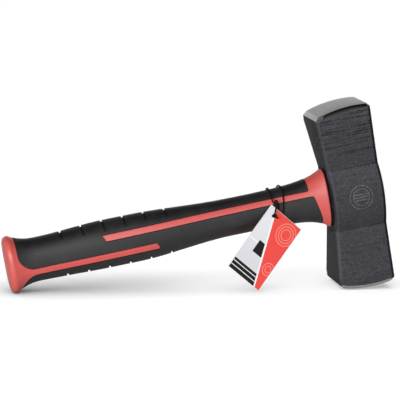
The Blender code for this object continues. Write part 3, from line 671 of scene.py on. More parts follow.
def upper_outline():
    """The collar and the stripe that runs out of it, as (x, z)."""
    top = SEAT_X - COLLAR_TOP_LENGTH
    middle = SEAT_X - COLLAR_MIDDLE_LENGTH
    bottom = SEAT_X - COLLAR_BOTTOM_LENGTH
    end = SEAT_X - UPPER_STRIPE_LENGTH
    half = STRIPE_WIDTH / 2
    root_half = UPPER_STRIPE_ROOT_WIDTH / 2
    return rounded(
        [
            (SEAT_X + PAST, LIP[0] + PAST, 0),
            (top, LIP[0] + PAST, 0),
            (top, UPPER_STRIPE_ROOT + root_half, COLLAR_UPPER_CORNER),
            (end - STRIPE_SLANT / 2, UPPER_STRIPE_TIP + half, STRIPE_TIP_ROUND),
            (end + STRIPE_SLANT / 2, UPPER_STRIPE_TIP - half, STRIPE_TIP_ROUND),
            (middle, UPPER_STRIPE_ROOT - root_half, COLLAR_LOWER_CORNER),
            (bottom, -NECK[1], COLLAR_SWEEP),
            (bottom, -LIP[1] - PAST, 0),
            (SEAT_X + PAST, -LIP[1] - PAST, 0),
        ],
        COLLAR_CORNER_STEPS,
    )


def groove_bands():
    """One mesh of closed bands, each wrapped over the top or the underside of the grip."""
    points, faces = [], []
    for k in range(GROOVE_COUNT):
        middle = BUTT_X + FIRST_GROOVE_AT + k * GROOVE_PITCH
        for side in (1, -1):
            top, bottom, _ = handle_sizes(middle)
            down = UPPER_GROOVE_REACH / top if side > 0 else LOWER_GROOVE_REACH / bottom
            first = math.asin((1 - down) ** (SECTION_POWER / 2))
            start = len(points)
            for x in (middle - GROOVE_WIDTH / 2, middle + GROOVE_WIDTH / 2):
                for inset in (GROOVE_DEPTH, -GROOVE_PAST):
                    for i in range(GROOVE_STEPS + 1):
                        angle = side * (first + (math.pi - 2 * first) * i / GROOVE_STEPS)
                        points.append(handle_point(x, angle, inset))
            inner, outer, inner2, outer2 = (start + row * (GROOVE_STEPS + 1) for row in range(4))
            for i in range(GROOVE_STEPS):
                faces.append((inner + i, inner + i + 1, inner2 + i + 1, inner2 + i))
                faces.append((outer + i, outer2 + i, outer2 + i + 1, outer + i + 1))
                faces.append((inner + i, outer + i, outer + i + 1, inner + i + 1))
                faces.append((inner2 + i, inner2 + i + 1, outer2 + i + 1, outer2 + i))
            for i in (0, GROOVE_STEPS):
                faces.append((inner + i, outer + i, outer2 + i, inner2 + i))
    return object_from("groove_cutter", points, faces)


def make_grip(material):
    """The soft overmould: the handle's skin less the jacket's body, cap, stripes and collar."""
    grip = loft("soft_overmould", handle_rings(0.0))
    hollow = inner_form("grip_hollow", JACKET_WALL_OUT - GAP, BUTT_X - PAST, SEAT_X + PAST)
    boolean(grip, hollow, "DIFFERENCE")
    reach = max(POMMEL[2], LIP[2]) + PAST
    for name, outline in (("lower", lower_outline()), ("upper", upper_outline())):
        boolean(grip, prism(f"{name}_window", grown(outline, GAP / 2 + SEAM), reach), "DIFFERENCE")
    boolean(grip, groove_bands(), "DIFFERENCE")
    return settled(grip, hammer_place, HANDLE_CREASE, [material])


def make_jacket(material):
    """The hard moulding: a slim body inside the grip, from which cap, stripes and collar stand out."""
    jacket = loft("hard_moulding", handle_rings(STRIPE_RECESS))
    reach = max(POMMEL[2], LIP[2]) + PAST
    lands = prism("lower_land", grown(lower_outline(), -GAP / 2), reach)
    boolean(lands, prism("upper_land", grown(upper_outline(), -GAP / 2), reach), "UNION")
    start, end = BUTT_X + CAP_LENGTH / 2, SEAT_X - COLLAR_BOTTOM_LENGTH / 2
    boolean(jacket, lands, "INTERSECT")
    boolean(jacket, inner_form("jacket_body", JACKET_WALL_OUT, start, end), "UNION")
    bore_from = SEAT_X - CORE_IN_HANDLE - BORE_CLEARANCE
    boolean(jacket, core_bore("jacket_bore", bore_from, SEAT_X + PAST), "DIFFERENCE")
    return within_box(settled(jacket, hammer_place, HANDLE_CREASE, [material]))


# String and card


def smooth_route(route, closed):
    """Many points along a smooth curve through the route's points."""
    count = len(route)
    dense = []
    for i in range(count if closed else count - 1):
        if closed:
            p0, p1, p2, p3 = (route[(i + k) % count] for k in (-1, 0, 1, 2))
        else:
            p0, p1, p2, p3 = (route[min(max(i + k, 0), count - 1)] for k in (-1, 0, 1, 2))
        for k in range(ROUTE_STEPS):
            t = k / ROUTE_STEPS
            bend = (2 * p0 - 5 * p1 + 4 * p2 - p3) * t**2 + (3 * p1 - p0 - 3 * p2 + p3) * t**3
            dense.append((2 * p1 + (p2 - p0) * t + bend) / 2)
    dense.append(route[0] if closed else route[-1])
    return dense


def string_path(name, points, closed):
    """A bare curve object along these points."""
    curve = bpy.data.curves.new(name, "CURVE")
    curve.dimensions = "3D"
    spline = curve.splines.new("POLY")
    spline.points.add(len(points) - 1)
    for point, place in zip(spline.points, points):
        point.co = (*place, 1.0)
    spline.use_cyclic_u = closed
    return linked(name, curve)


def string_tree():
    """Geometry nodes that lay twisted plies along a curve, and their inputs' identifiers by name."""
    group = bpy.data.node_groups.new("laid_string", "GeometryNodeTree")
    face = group.interface
    inputs = {}
    for name, kind in (
        ("Geometry", "Geometry"),
        ("Ply radius", "Float"),
        ("Turns", "Float"),
        ("Spacing", "Float"),
        ("Material", "Material"),
    ):
        socket = face.new_socket(name, in_out="INPUT", socket_type=f"NodeSocket{kind}")
        inputs[name] = socket.identifier
    face.new_socket("Geometry", in_out="OUTPUT", socket_type="NodeSocketGeometry")

    nodes = Nodes(group)
    given = nodes.add("NodeGroupInput")
    spaced = {"Curve": given["Geometry"], "Length": given["Spacing"]}
    path = nodes.add("GeometryNodeResampleCurve", spaced, mode="LENGTH")["Curve"]
    tangent = nodes.add("GeometryNodeInputTangent")["Tangent"]
    normal = nodes.add("GeometryNodeInputNormal")["Normal"]
    across = nodes.vector("CROSS_PRODUCT", tangent, normal)
    share = nodes.add("GeometryNodeSplineParameter")["Factor"]
    off = given["Ply radius"] * PLY_OFF
    tubes = []
    for ply in range(PLIES):
        angle = (share * given["Turns"] + ply / PLIES) * (2 * math.pi)
        along_normal = nodes.vector("SCALE", normal, angle.maths("COSINE") * off)
        along_across = nodes.vector("SCALE", across, angle.maths("SINE") * off)
        moved = {"Geometry": path, "Offset": nodes.vector("ADD", along_normal, along_across)}
        moved = nodes.add("GeometryNodeSetPosition", moved)["Geometry"]
        circle = {"Resolution": PLY_SIDES, "Radius": given["Ply radius"]}
        section = nodes.add("GeometryNodeCurvePrimitiveCircle", circle)["Curve"]
        tube = {"Curve": moved, "Profile Curve": section, "Fill Caps": True}
        tubes.append(nodes.add("GeometryNodeCurveToMesh", tube)["Mesh"])
    made = nodes.add("GeometryNodeJoinGeometry", {"Geometry": tubes})["Geometry"]
    made = nodes.add("GeometryNodeSetShadeSmooth", {"Geometry": made})["Geometry"]
    made = nodes.add("GeometryNodeRealizeInstances", {"Geometry": made})["Geometry"]
    painted = {"Geometry": made, "Material": given["Material"]}
    made = nodes.add("GeometryNodeSetMaterial", painted)["Geometry"]
    nodes.add("NodeGroupOutput", {"Geometry": made})
    return group, inputs


def string_layer(material):
    """A function that lays string of this material along a route and returns it as a mesh object."""
    group, inputs = string_tree()

    def lay(name, route, closed, radius=STRING_RADIUS):
        path = string_path(name, route[:-1] if closed else route, closed)
        length = sum((b - a).length for a, b in zip(route, route[1:]))
        laying = path.modifiers.new("lay", "NODES")
        laying.node_group = group
        for key, value in (
            ("Ply radius", radius / (1 + PLY_OFF)),
            ("Turns", float(round(length / (LAY_LENGTH * radius)))),
            ("Spacing", LAY_SPACING * radius),
            ("Material", material),
        ):
            laying[inputs[key]] = value
        graph = bpy.context.evaluated_depsgraph_get()
        mesh = bpy.data.meshes.new_from_object(path.evaluated_get(graph))
        bpy.data.objects.remove(path, do_unlink=True)
        return linked(name, mesh)

    return lay


def neck_point(from_seat, degrees, stand_off=0.0):
    """A point of the string's middle line where it lies on the handle, or stands off it."""
    off = GAP + STRING_RADIUS + stand_off
    return handle_point(SEAT_X - from_seat, math.radians(degrees), -off)


# Where the two turns of string run: on the neck as (distance from the head, degrees round from the
# front, stand-off), and past the pivot as a step from it
UP_THE_FRONT = (
    (0.0398, -88, 0.0017), (0.0408, -50, 0.0012), (0.0406, -14, 0.0001), (0.0401, 5, 0.0002),
)
PAST_THE_PIVOT = (
    (0.0020, 0.0019, -0.0019), (0.0010, 0.0003, -0.0003), (0.0000, 0.0000, 0.0000),
    (-0.0010, 0.0002, 0.0003), (-0.0020, 0.0011, 0.0012),
)
ROUND_THE_NECK = (
    (0.0440, 52, 0.0010), (0.0436, 78), (0.0433, 100), (0.0431, 128), (0.0430, 155), (0.0428, 180),
    (0.0424, 205), (0.0417, 232), (0.0402, 258), (0.0388, 285), (0.0384, 312), (0.0377, 338),
    (0.0365, 362), (0.0350, 390), (0.0341, 418), (0.0341, 445), (0.0346, 470), (0.0353, 500),
    (0.0362, 530), (0.0366, 560), (0.0372, 588, 0.0003), (0.0382, 612, 0.0013),
)


def make_wraps(lay, material):
    """Two turns of string round the neck in one closed loop; its front strand carries the card."""
    pivot = Vector((SEAT_X - PIVOT_AT, -PIVOT_OUT, PIVOT_UP))
    route = [neck_point(*row) for row in UP_THE_FRONT]
    route += [pivot + Vector(step) for step in PAST_THE_PIVOT]
    route += [neck_point(*row) for row in ROUND_THE_NECK]
    wraps = lay("neck_string", smooth_route(route, True), True)
    return settled(wraps, hammer_place, STRING_CREASE, [material])


def half_turn(radius, side):
    """(across, along) points of a half circle that bulges on for side 1 and back for side -1."""
    angles = [math.pi * k / HALF_TURN_STEPS for k in range(HALF_TURN_STEPS + 1)]
    return [(side * math.cos(angle) * radius, side * math.sin(angle) * radius) for angle in angles]


def make_knot(lay, material):
    """The small loop that hangs on the front strand and holds the card, with its knot and its ends."""
    down = Vector((-TAG_SHIFT, 0.0, -TAG_DROP))
    reach = down.length
    down.normalize()
    out = Vector((0.0, -1.0, 0.0))
    bottom = reach - LOOP_BOTTOM_RADIUS
    narrowing = LOOP_TOP_RADIUS - LOOP_BOTTOM_RADIUS
    sides = [(LOOP_TOP_RADIUS - narrowing * k / 3, bottom * k / 3) for k in (1, 2)]
    ring = half_turn(LOOP_TOP_RADIUS, -1) + sides
    ring += [(across, bottom + along) for across, along in half_turn(LOOP_BOTTOM_RADIUS, 1)]
    ring += [(-across, along) for across, along in reversed(sides)]
    ring = [out * across + down * along for across, along in ring]
    loop = lay("card_loop", smooth_route(ring, True), True)
    middle = down * (reach - KNOT_UP) + out * (LOOP_BOTTOM_RADIUS + KNOT_OUT)
    knotted = []
    for k in range(KNOT_STEPS + 1):
        t = 2 * math.pi * k / KNOT_STEPS
        trefoil = (
            (math.sin(t) + 2 * math.sin(2 * t)) * KNOT_SIZE[0],
            math.sin(3 * t) * KNOT_SIZE[1],
            (math.cos(t) - 2 * math.cos(2 * t)) * KNOT_SIZE[2],
        )
        knotted.append(middle + Vector(trefoil))
    pieces = [lay("knot_turns", knotted, True, KNOT_STRING_RADIUS)]
    for name, tip in STRING_ENDS:
        tip = Vector(tip)
        route = smooth_route([middle, middle + tip * 0.5 + out * END_BOW, middle + tip], False)
        pieces.append(lay(name, route, False))
    with bpy.context.temp_override(active_object=loop, selected_editable_objects=[loop, *pieces]):
        bpy.ops.object.join()
    return settled(loop, pivot_place, STRING_CREASE, [material])


def make_card(materials):
    """A card folded along its top edge, with one hole through both leaves; its origin is the hole."""
    half = TAG_FOLD_GAP / 2
    outer = half + TAG_LEAF
    foot = TAG_HOLE_DOWN - TAG_HEIGHT
    spread = TAG_OPENING - TAG_FOLD_GAP
    fold = TAG_HOLE_DOWN - outer

    def leaf(offset, drift):
        """Points down one face of a leaf, which drifts away towards its foot."""
        shares = [k / CARD_ROWS for k in range(CARD_ROWS + 1)]
        return [Vector((offset + drift * share, fold + (foot - fold) * share)) for share in shares]

    def arc(radius, to_far):
        """Points over the fold, from one leaf to the other."""
        angles = [math.pi * k / FOLD_STEPS for k in range(1, FOLD_STEPS)]
        if not to_far:
            angles = [math.pi * (1 - k / FOLD_STEPS) for k in range(1, FOLD_STEPS)]
        return [Vector((-radius * math.cos(a), fold + radius * math.sin(a))) for a in angles]

    outline = list(reversed(leaf(-outer, 0.0))) + arc(outer, True) + leaf(outer, spread)
    outline += list(reversed(leaf(half, spread))) + arc(half, False) + leaf(-half, 0.0)
    across = [-TAG_HOLE_IN + TAG_WIDTH * k / CARD_COLUMNS for k in range(CARD_COLUMNS + 1)]
    card = loft("folded_card", [[Vector((x, y, z)) for y, z in outline] for x in across])
    turn = [2 * math.pi * k / HOLE_SIDES for k in range(HOLE_SIDES)]
    rim = [(math.cos(a) * TAG_HOLE_RADIUS, math.sin(a) * TAG_HOLE_RADIUS) for a in turn]
    hole = loft("card_hole", [[Vector((x, y, z)) for x, z in rim] for y in HOLE_ENDS])
    boolean(card, hole, "DIFFERENCE")
    return settled(card, tag_place, HANDLE_CREASE, materials)


# Materials

# Colours, as shares of the light that comes back
LACQUER_DARK, LACQUER_PALE = (0.010, 0.010, 0.012), (0.092, 0.092, 0.102)
ETCHED_PALE = (0.32, 0.32, 0.32)
RED_DEEP, RED_BRIGHT = (0.64, 0.081, 0.071), (0.74, 0.119, 0.105)
# the red in the painted shadow line at the head
RED_IN_SHADOW = (0.09, 0.006, 0.008)
RUBBER_CLEAN, RUBBER_DUSTY = (0.009, 0.009, 0.010), (0.018, 0.018, 0.019)
# the painted shade along the grooves
GROOVE_SHADE = (0.002, 0.002, 0.002)
STRING_DARK, STRING_PALE = (0.003, 0.003, 0.004), (0.014, 0.014, 0.015)
GLASS_RESIN, GLASS_BUNDLE = (0.42, 0.34, 0.19), (0.66, 0.60, 0.42)
POURED_DARK, POURED_PALE = (0.030, 0.026, 0.022), (0.075, 0.065, 0.052)
CARD_GREY_TOP, CARD_GREY_FOOT = (0.80, 0.80, 0.84), (0.70, 0.70, 0.74)
CARD_WHITE, CARD_CUT, CARD_BLACK = (0.93, 0.93, 0.93), (0.88, 0.88, 0.88), (0.008, 0.008, 0.009)
CARD_RED, CARD_RING = (0.86, 0.084, 0.068), (1.0, 0.42, 0.36)

# Where the lacquer's marks, its painted highlight and its painted shade lie on the head, by height or
# depth
STREAKS_RISE = (0.018, 0.040)  # the rolled streaks set in over these heights
# how far the painted shade along the crease at each pinch spreads
CREASE_SHADE_WIDTH = 0.0009
HIGHLIGHT_RISE, HIGHLIGHT_FALL = (-0.030, 0.0), (0.050, 0.030)  # the painted highlight on the corners towards the handle is strongest between these heights
COLLAR_POWER = 2.5  # of the oval that the painted shadow round the collar follows
NEAR_CHEEK = (0.0, -0.005)  # the etched mark is on this side alone

# The heights past which the grooves carry painted shade, and how near the head the red carries a painted
# shadow
UPPER_GROOVES_FROM, LOWER_GROOVES_FROM = (0.0112, 0.0120), (-0.0140, -0.0148)
UPPER_GROOVES_RISE = 0.00035  # by the square of a groove's distance from the longest one, in pitches
SHADOW_EDGE_FROM, SHADOW_EDGE_TO = 0.0010, 0.0003

# The card's print, in millimetres from its upper corner: across, down
RULE_SLOPE, RULE_AT, RULE_HALF = 0.41, 4.6, 0.85  # the white rule: across = down * slope + at
CARD_RINGS = ((25.0, 11.0, (4.2, 6.4, 8.6)), (29.5, 40.0, (2.6, 4.8)))
GREY_LINE_DOWN = 29.0
BLOCK_FROM, BLOCK_DOWN, BLOCK_HALF = 9.0, 31.5, 5.0
FOOT_DOWN, FOOT_SHORT, FOOT_RULES = 48.0, 0.6, (50.4, 53.6)
RING_LINE, GREY_LINE, FOOT_LINE, PRINT_BLUR = (0.42, 0.22), (0.5, 0.3), (0.32, 0.22), 0.1
FRONT_LEAF = (-0.00055, -0.00059)  # in metres: the outside of the front leaf, past its cut edges


def lacquered_steel():
    """Dark lacquer over a forged surface: speckled all over, with rolled streaks along the upper cheeks.

    The corners towards the handle carry a painted highlight. Painted shade darkens the front edge and
    face, the face towards the handle, an oval round the collar and the crease at each pinch.
    """
    skin = Finish("lacquered_steel", Metallic=0.0, Specular_IOR_Level=0.06)
    seen, along, deep, up = skin.placed(hammer_place)
    drawn_out = skin.placed(hammer_place, (0.022, 0.20, 1.0))[0]
    fine = skin.noise(seen, 2400.0, 2.0, 0.6)
    speckle = skin.noise(seen, 950.0, 3.0, 0.7)
    mottle = skin.noise(seen, 240.0, 3.0, 0.6)
    streaks = skin.noise(drawn_out, 1500.0, 1.0, 0.5)
    patches = skin.noise(seen, 45.0, 1.0, 0.5)
    drawn = up.ramp(*STREAKS_RISE) * 0.75 + 0.25
    drawn = drawn * patches.ramp(0.25, 0.50)
    lines = (0.5 - streaks).ramp(0.03, 0.12) * drawn
    # painted shade along the crease at each pinch
    crease_shade = abs(up).near(PINCH_HEIGHT, CREASE_SHADE_WIDTH, 0.0)
    shade = 0.575 + speckle.about(1.5) + fine.about(0.5) + mottle.about(0.4) - lines * 0.30
    shade = shade + (streaks - 0.5) * drawn * 0.8 - crease_shade * 0.22
    to_head = skin.facing((1.0, 0.0, 0.0))
    to_side = abs(skin.facing((0.0, 1.0, 0.0)))
    # painted highlight on the corners between the face towards the handle and the cheeks
    edge_highlight = to_head.ramp(-0.45, -0.62) * to_side.ramp(0.35, 0.60)
    # painted shadow in an oval round the collar
    collar = (abs(deep) / (LIP[2] + COLLAR_SHADE)) ** COLLAR_POWER
    collar = (abs(up) / (LIP[0] + COLLAR_SHADE)) ** COLLAR_POWER + collar
    # the heights at which that painted highlight is strongest
    pale = up.ramp(*HIGHLIGHT_RISE) * up.ramp(*HIGHLIGHT_FALL) * 0.55
    # painted shade on the front face, deepest on its rounded edges
    front = to_head.ramp(0.05, 0.30)
    shade = shade + edge_highlight * (speckle * 0.9 + pale) - front * 0.25
    shade = shade - front * to_head.ramp(0.995, 0.93) * 0.35
    # painted shade on the face towards the handle, deepest in the painted shadow round the collar
    shade = shade - to_head.ramp(-0.70, -0.95) * (collar.ramp(1.10, 0.95) * 0.45 + 0.10)
    colour = skin.mix(shade.clamped(), LACQUER_DARK, LACQUER_PALE)

    along = along - ETCHED_AT
    away = (along * along + up * up).maths("SQRT")
    etched = 0.0
    for radius in ETCHED_RINGS:
        etched = away.near(radius, ETCHED_LINE, ETCHED_LINE * 0.4) + etched
    for bar in ETCHED_BARS:
        inside = away.ramp(ETCHED_RINGS[1], ETCHED_RINGS[1] - ETCHED_LINE)
        etched = up.near(bar, ETCHED_LINE, ETCHED_LINE * 0.4) * inside + etched
    etched = etched * deep.ramp(*NEAR_CHEEK) * (fine * 0.5 + mottle * 0.5).ramp(0.35, 0.60)
    colour = skin.mix(etched.clamped(0.55), colour, ETCHED_PALE)
    height = speckle * 0.8 + fine * 0.3 + mottle * 0.8 + streaks * drawn * 1.2
    rough = 0.55 + mottle.about(0.25) + fine.about(0.15)
    return skin.wear(Base_Color=colour, Roughness=rough, Normal=skin.bump(height, 0.00022, 0.5))


def ground_steel(name, level, roughness, metal):
    """Bare steel with a grinding wheel's fine lines across it; less metal shows where it is dull."""
    skin = Finish(name, Metallic=metal)
    lines = skin.noise(skin.placed(hammer_place, (1.0, 0.06, 1.0))[0], 1500.0, 3.0, 0.65)
    cloud = skin.noise(skin.placed(hammer_place)[0], 200.0, 3.0, 0.6)
    share = (0.5 + lines.about(1.1) + cloud.about(0.9)).clamped()
    colour = skin.mix(share, (level * 0.7,) * 3, (level * 1.25,) * 3)
    normal = skin.bump(lines + cloud * 0.5, 0.00003, 0.4)
    return skin.wear(Base_Color=colour, Roughness=roughness + cloud.about(0.2), Normal=normal)


def moulded_red():
    """Semi-gloss red plastic with a faint orange-peel skin and a painted shadow line at its edge by the
    head.
    """
    skin = Finish("moulded_red", Specular_IOR_Level=0.72)
    seen, along, _, _ = skin.placed(hammer_place)
    flow = skin.noise(skin.placed(hammer_place, (0.08, 1.0, 1.0))[0], 260.0, 3.0, 0.5)
    peel = skin.noise(seen, 1500.0, 2.0, 0.5)
    colour = skin.mix(flow, RED_DEEP, RED_BRIGHT)
    # painted shadow line on the red where it meets the head
    shadow_at_head = along.ramp(SEAT_X - SHADOW_EDGE_FROM, SEAT_X - SHADOW_EDGE_TO) * 0.85
    colour = skin.mix(shadow_at_head, colour, RED_IN_SHADOW)
    normal = skin.bump(peel, 0.00003, 0.5)
    return skin.wear(Base_Color=colour, Roughness=0.44 + flow.about(0.12), Normal=normal)


def moulded_rubber():
    """Matt black rubber, spark-textured, with a trace of handling dust and painted shade in the grooves.
    """
    skin = Finish("moulded_rubber", Specular_IOR_Level=0.5)
    seen, along, _, up = skin.placed(hammer_place)
    grain = skin.noise(seen, 3200.0, 2.0, 0.6)
    dust = skin.noise(seen, 90.0, 4.0, 0.6)
    pitches = (along - (BUTT_X + FIRST_GROOVE_AT)) / GROOVE_PITCH
    off = abs((pitches + 0.5).maths("FRACT") - 0.5) * GROOVE_PITCH
    # painted shade along the grooves
    grooves = off.ramp(GROOVE_WIDTH * 0.55, GROOVE_WIDTH * 0.45)
    grooves = grooves * pitches.ramp(-0.3, -0.2) * pitches.ramp(GROOVE_COUNT - 0.7, GROOVE_COUNT - 0.8)
    spread = pitches - LONGEST_GROOVE
    upper = (up - spread * spread * UPPER_GROOVES_RISE).ramp(*UPPER_GROOVES_FROM)
    grooves = grooves * (upper + up.ramp(*LOWER_GROOVES_FROM))
    colour = skin.mix(dust.ramp(0.35, 0.75), RUBBER_CLEAN, RUBBER_DUSTY)
    colour = skin.mix(grooves, colour, GROOVE_SHADE)
    rough = 0.55 + dust.about(0.16) + grain.about(0.1) + grooves * 0.35
    return skin.wear(Base_Color=colour, Roughness=rough, Normal=skin.bump(grain, 0.00006, 0.6))


def laid_string():
    """Waxed black thread with a fibrous sheen."""
    skin = Finish("laid_string", Specular_IOR_Level=0.15)
    fibres = skin.noise(skin.add("ShaderNodeTexCoord")["Object"], 4200.0, 3.0, 0.7)
    colour = skin.mix(fibres, STRING_DARK, STRING_PALE)
    normal = skin.bump(fibres, 0.00008, 0.7)
    return skin.wear(Base_Color=colour, Roughness=0.80 + fibres.about(0.2), Normal=normal)


def glass_rod():
    """Sawn fibreglass: yellowish resin crossed by bundles of glass."""
    skin = Finish("glass_rod", Specular_IOR_Level=0.5)
    bundles = skin.noise(skin.placed(hammer_place, (0.05, 1.0, 1.0))[0], 2400.0, 2.0, 0.6)
    colour = skin.mix(bundles.ramp(0.3, 0.7), GLASS_RESIN, GLASS_BUNDLE)
    normal = skin.bump(bundles, 0.00005, 0.6)
    return skin.wear(Base_Color=colour, Roughness=0.5 + bundles.about(0.2), Normal=normal)


def poured_resin():
    """Dark, glossy, slightly clouded resin."""
    skin = Finish("poured_resin", Specular_IOR_Level=0.5, Coat_Weight=0.3)
    cloud = skin.noise(skin.placed(hammer_place)[0], 380.0, 3.0, 0.5)
    colour = skin.mix(cloud, POURED_DARK, POURED_PALE)
    normal = skin.bump(cloud, 0.0001, 0.4)
    return skin.wear(Base_Color=colour, Roughness=0.24 + cloud.about(0.2), Normal=normal)


def printed_card():
    """Blocks of flat colour: pale grey and red with a white rule between, dark bands and pale rings."""
    skin = Finish("printed_card", Specular_IOR_Level=0.25)
    seen, x, y, z = skin.placed(tag_place)
    across = (x + TAG_HOLE_IN) * 1000.0
    down = (TAG_HOLE_DOWN - z) * 1000.0
    side = across - down * RULE_SLOPE - RULE_AT
    fibres = skin.noise(seen, 1800.0, 3.0, 0.6)

    rings = 0.0
    for ring_across, ring_down, radii in CARD_RINGS:
        away = ((across - ring_across) ** 2.0 + (down - ring_down) ** 2.0).maths("SQRT")
        for radius in radii:
            rings = away.near(radius, *RING_LINE) + rings
    red_side = skin.mix(rings.clamped(0.6), CARD_RED, CARD_RING)

    grey_side = skin.mix(down.ramp(4.0, 50.0), CARD_GREY_TOP, CARD_GREY_FOOT)
    grey_side = skin.mix(down.near(GREY_LINE_DOWN, *GREY_LINE), grey_side, CARD_WHITE)
    block = (across - BLOCK_FROM).ramp(-0.15, 0.15)
    block = block * down.near(BLOCK_DOWN, BLOCK_HALF + PRINT_BLUR, BLOCK_HALF - PRINT_BLUR)
    grey_side = skin.mix(block, grey_side, CARD_BLACK)

    front = skin.mix(side.ramp(-PRINT_BLUR, PRINT_BLUR), grey_side, red_side)
    rule = abs(side).ramp(RULE_HALF + PRINT_BLUR, RULE_HALF - PRINT_BLUR)
    front = skin.mix(rule, front, CARD_WHITE)
    foot = down.ramp(FOOT_DOWN - PRINT_BLUR, FOOT_DOWN + PRINT_BLUR)
    foot = foot * (side + FOOT_SHORT).ramp(PRINT_BLUR, -PRINT_BLUR)
    front = skin.mix(foot, front, CARD_BLACK)
    for at in FOOT_RULES:
        front = skin.mix(down.near(at, *FOOT_LINE) * foot, front, CARD_WHITE)

    printed = y.ramp(*FRONT_LEAF)
    back = skin.facing(tag_place.to_3x3() @ Vector((0.0, 1.0, 0.0))).ramp(0.5, 0.7)
    colour = skin.mix(printed, CARD_CUT, front)
    colour = skin.mix(back, colour, CARD_RED)
    normal = skin.bump(fibres, 0.00003, 0.4)
    return skin.wear(Base_Color=colour, Roughness=0.42 + fibres.about(0.1), Normal=normal)


# Stage

# What the sky shows in gloss, what it fills in with, and how pale the floor is
BACK_HORIZON, ZENITH, FRONT = 0.7, 0.01, 0.06
FILL_LEFT, FILL_RIGHT, FILL_TOP = 0.24, 0.03, 0.05
RISES_OVER, FRONT_OVER, SIDES_OVER = (0.30, 0.85), (-0.60, -0.95), 0.6  # as parts of a unit direction
FLOOR_PALE, FLOOR_IN_GLOSS, FLOOR_BOUNCE, FLOOR_BOUNCE_BEHIND = 0.85, 0.50, 0.13, 0.04
FLOOR_REACH, FLOOR_BELOW, BEHIND_BY = 6.0, 0.0002, 0.12
AIM = (0.0, 0.0, 0.05)  # where most of the lamps point


def backdrop():
    """A floor that is pale to the camera and reflects less light than that, least of all behind."""
    corners = [(x * FLOOR_REACH, y * FLOOR_REACH, 0.0) for x, y in ((-1, -1), (1, -1), (1, 1), (-1, 1))]
    mesh = bpy.data.meshes.new("floor")
    mesh.from_pydata(corners, [], [(0, 1, 2, 3)])
    made = linked("floor", mesh)
    made.location.z = -FLOOR_BELOW
    paint = Finish("floor_paint", Roughness=0.9, Specular_IOR_Level=0.0)
    back = paint.placed(Matrix.Identity(4))[2]
    rays = paint.add("ShaderNodeLightPath")
    level = paint.mix(back.ramp(0.0, BEHIND_BY), (FLOOR_BOUNCE,) * 3, (FLOOR_BOUNCE_BEHIND,) * 3)
    level = paint.mix(rays["Is Glossy Ray"], level, (FLOOR_IN_GLOSS,) * 3)
    level = paint.mix(rays["Is Camera Ray"], level, (FLOOR_PALE,) * 3)
    mesh.materials.append(paint.wear(Base_Color=level))
    return made


def surroundings():
    """White to the camera; a bright horizon, a dark zenith and a soft even fill to everything else."""
    scene.world = bpy.data.worlds.new("surroundings")
    scene.world.use_nodes = True
    nodes = Nodes(scene.world.node_tree)
    nodes.tree.nodes.clear()

    def glow(level):
        return nodes.add("ShaderNodeBackground", {"Color": (level,) * 3})["Background"]

    def chosen(share, first, second):
        return nodes.add("ShaderNodeMixShader", {0: share, 1: first, 2: second})["Shader"]

    rays = nodes.add("ShaderNodeLightPath")
    where = nodes.add("ShaderNodeTexCoord")["Generated"]
    x, y, z = nodes.add("ShaderNodeSeparateXYZ", {"Vector": where}).values()
    height, frontness = z.ramp(*RISES_OVER), y.ramp(*FRONT_OVER)
    sides = {"Value": x, "From Min": SIDES_OVER, "From Max": -SIDES_OVER}
    leftness = nodes.add("ShaderNodeMapRange", sides)["Result"]
    sky = chosen(height, glow(BACK_HORIZON), glow(ZENITH))
    sky = chosen(frontness, sky, glow(FRONT))
    fill = chosen(leftness, glow(FILL_RIGHT), glow(FILL_LEFT))
    fill = chosen(height, fill, glow(FILL_TOP))
    level = chosen(rays["Is Glossy Ray"], fill, sky)
    for seen_white in ("Is Camera Ray", "Is Transmission Ray"):
        level = chosen(rays[seen_white], level, glow(1.0))
    nodes.add("ShaderNodeOutputWorld", {"Surface": level})


def group_of(name, things):
    """A collection of these objects, for light linking."""
    group = bpy.data.collections.new(name)
    for thing in things:
        group.objects.link(thing)
    return group


def lamp_on(lit, name, kind, power):
    """A lamp that lights these objects alone."""
    light = bpy.data.lights.new(name, kind)
    light.energy = power
    lamp = linked(name, light)
    lamp.light_linking.receiver_collection = group_of(f"{name}_lights", lit)
    return lamp


def soft_lamp(lit, name, place, aim, size, power, in_gloss=True):
    """A round soft box, which may be kept out of glossy reflections."""
    lamp = lamp_on(lit, name, "AREA", power)
    lamp.data.shape = "DISK"
    lamp.data.size = size
    lamp.location = place
    lamp.rotation_euler = (Vector(aim) - Vector(place)).to_track_quat("-Z", "Y").to_euler()
    lamp.visible_camera = False
    lamp.visible_glossy = in_gloss
    return lamp


def sky_lamp(lit, blocking, name, spread, strength, turn):
    """A wide, distant glow; only the blocking objects stand in its light."""
    lamp = lamp_on(lit, name, "SUN", strength)
    lamp.data.angle = math.radians(spread)
    lamp.rotation_euler = [math.radians(angle) for angle in turn]
    lamp.light_linking.blocker_collection = group_of(f"{name}_blocked_by", blocking)


# Pieces

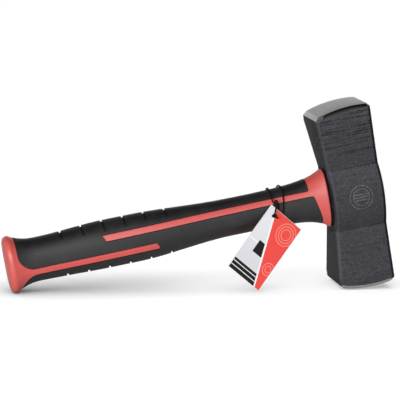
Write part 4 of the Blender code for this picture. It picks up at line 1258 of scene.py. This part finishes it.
steel = lacquered_steel()
crown = ground_steel("ground_crown", 0.25, 0.34, 0.55)
bevel = ground_steel("ground_bevel", 0.45, 0.18, 1.0)
red, rubber, thread = moulded_red(), moulded_rubber(), laid_string()
lay = string_layer(thread)
pieces = (
    (make_head([steel, crown, bevel]), "head", "hammer", "forged_steel"),
    (make_resin(poured_resin()), "eye_resin", "hammer", "dark_resin"),
    (make_core(glass_rod()), "fibreglass_core", "hammer", "fibreglass"),
    (make_jacket(red), "hard_jacket", "hammer", "red_plastic"),
    (make_grip(rubber), "soft_grip", "hammer", "black_rubber"),
    (make_wraps(lay, thread), "tie_wraps", "hammer", "black_string"),
    (make_knot(lay, thread), "tie_knot", "tag_loop", "black_string"),
    (make_card([printed_card()]), "tag", "tag", "printed_card"),
)
for tool in tools:
    bpy.data.objects.remove(tool, do_unlink=True)
for made, node, body, slot in pieces:
    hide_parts(node)
    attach(made, body)


# Light and camera

looks = [made for made, *_ in pieces]
head_parts, moulded, handle_side, card = looks[:3], looks[3:5], looks[3:], looks[7:]
surroundings()
floor = [backdrop()]
soft_lamp(handle_side, "key", (-1.05, -1.45, 0.30), AIM, 1.00, 28.0)
soft_lamp(handle_side, "front", (-0.20, -1.90, 0.35), AIM, 0.70, 11.5)
soft_lamp(head_parts, "head_key", (-0.35, -1.15, 1.35), (0.10, 0.0, 0.08), 0.60, 46.0, False)
soft_lamp(card, "card_key", (-0.35, -1.90, 0.40), AIM, 0.60, 9.0, False)
soft_lamp(looks, "back", (0.95, 1.55, 0.50), AIM, 1.00, 42.0, False)
sky_lamp(floor, looks[1:], "floor_sky", 100.0, 2.92, (20.0, 0.0, -60.0))
sky_lamp(floor, moulded, "floor_front", 45.0, 1.1, (48.0, 0.0, 0.0))
floor_right = soft_lamp(floor, "floor_right", (0.08, 0.03, 0.16), (0.08, 0.03, 0.0), 0.10, 0.08)
floor_right.data.use_shadow = False
for made in (looks[3], *card):
    made.visible_diffuse = False  # the moulding and the card throw no red on the floor

camera = bpy.data.cameras.new("camera")
camera.sensor_width = 36.0
camera.lens = 190.8296
viewer = linked("camera", camera)
viewer.location = (-0.33052, -1.53771, 0.34968)
viewer.rotation_euler = [math.radians(angle) for angle in (79.8287, -1.3237, -11.8885)]
scene.camera = viewer
scene.view_settings.view_transform = "Standard"
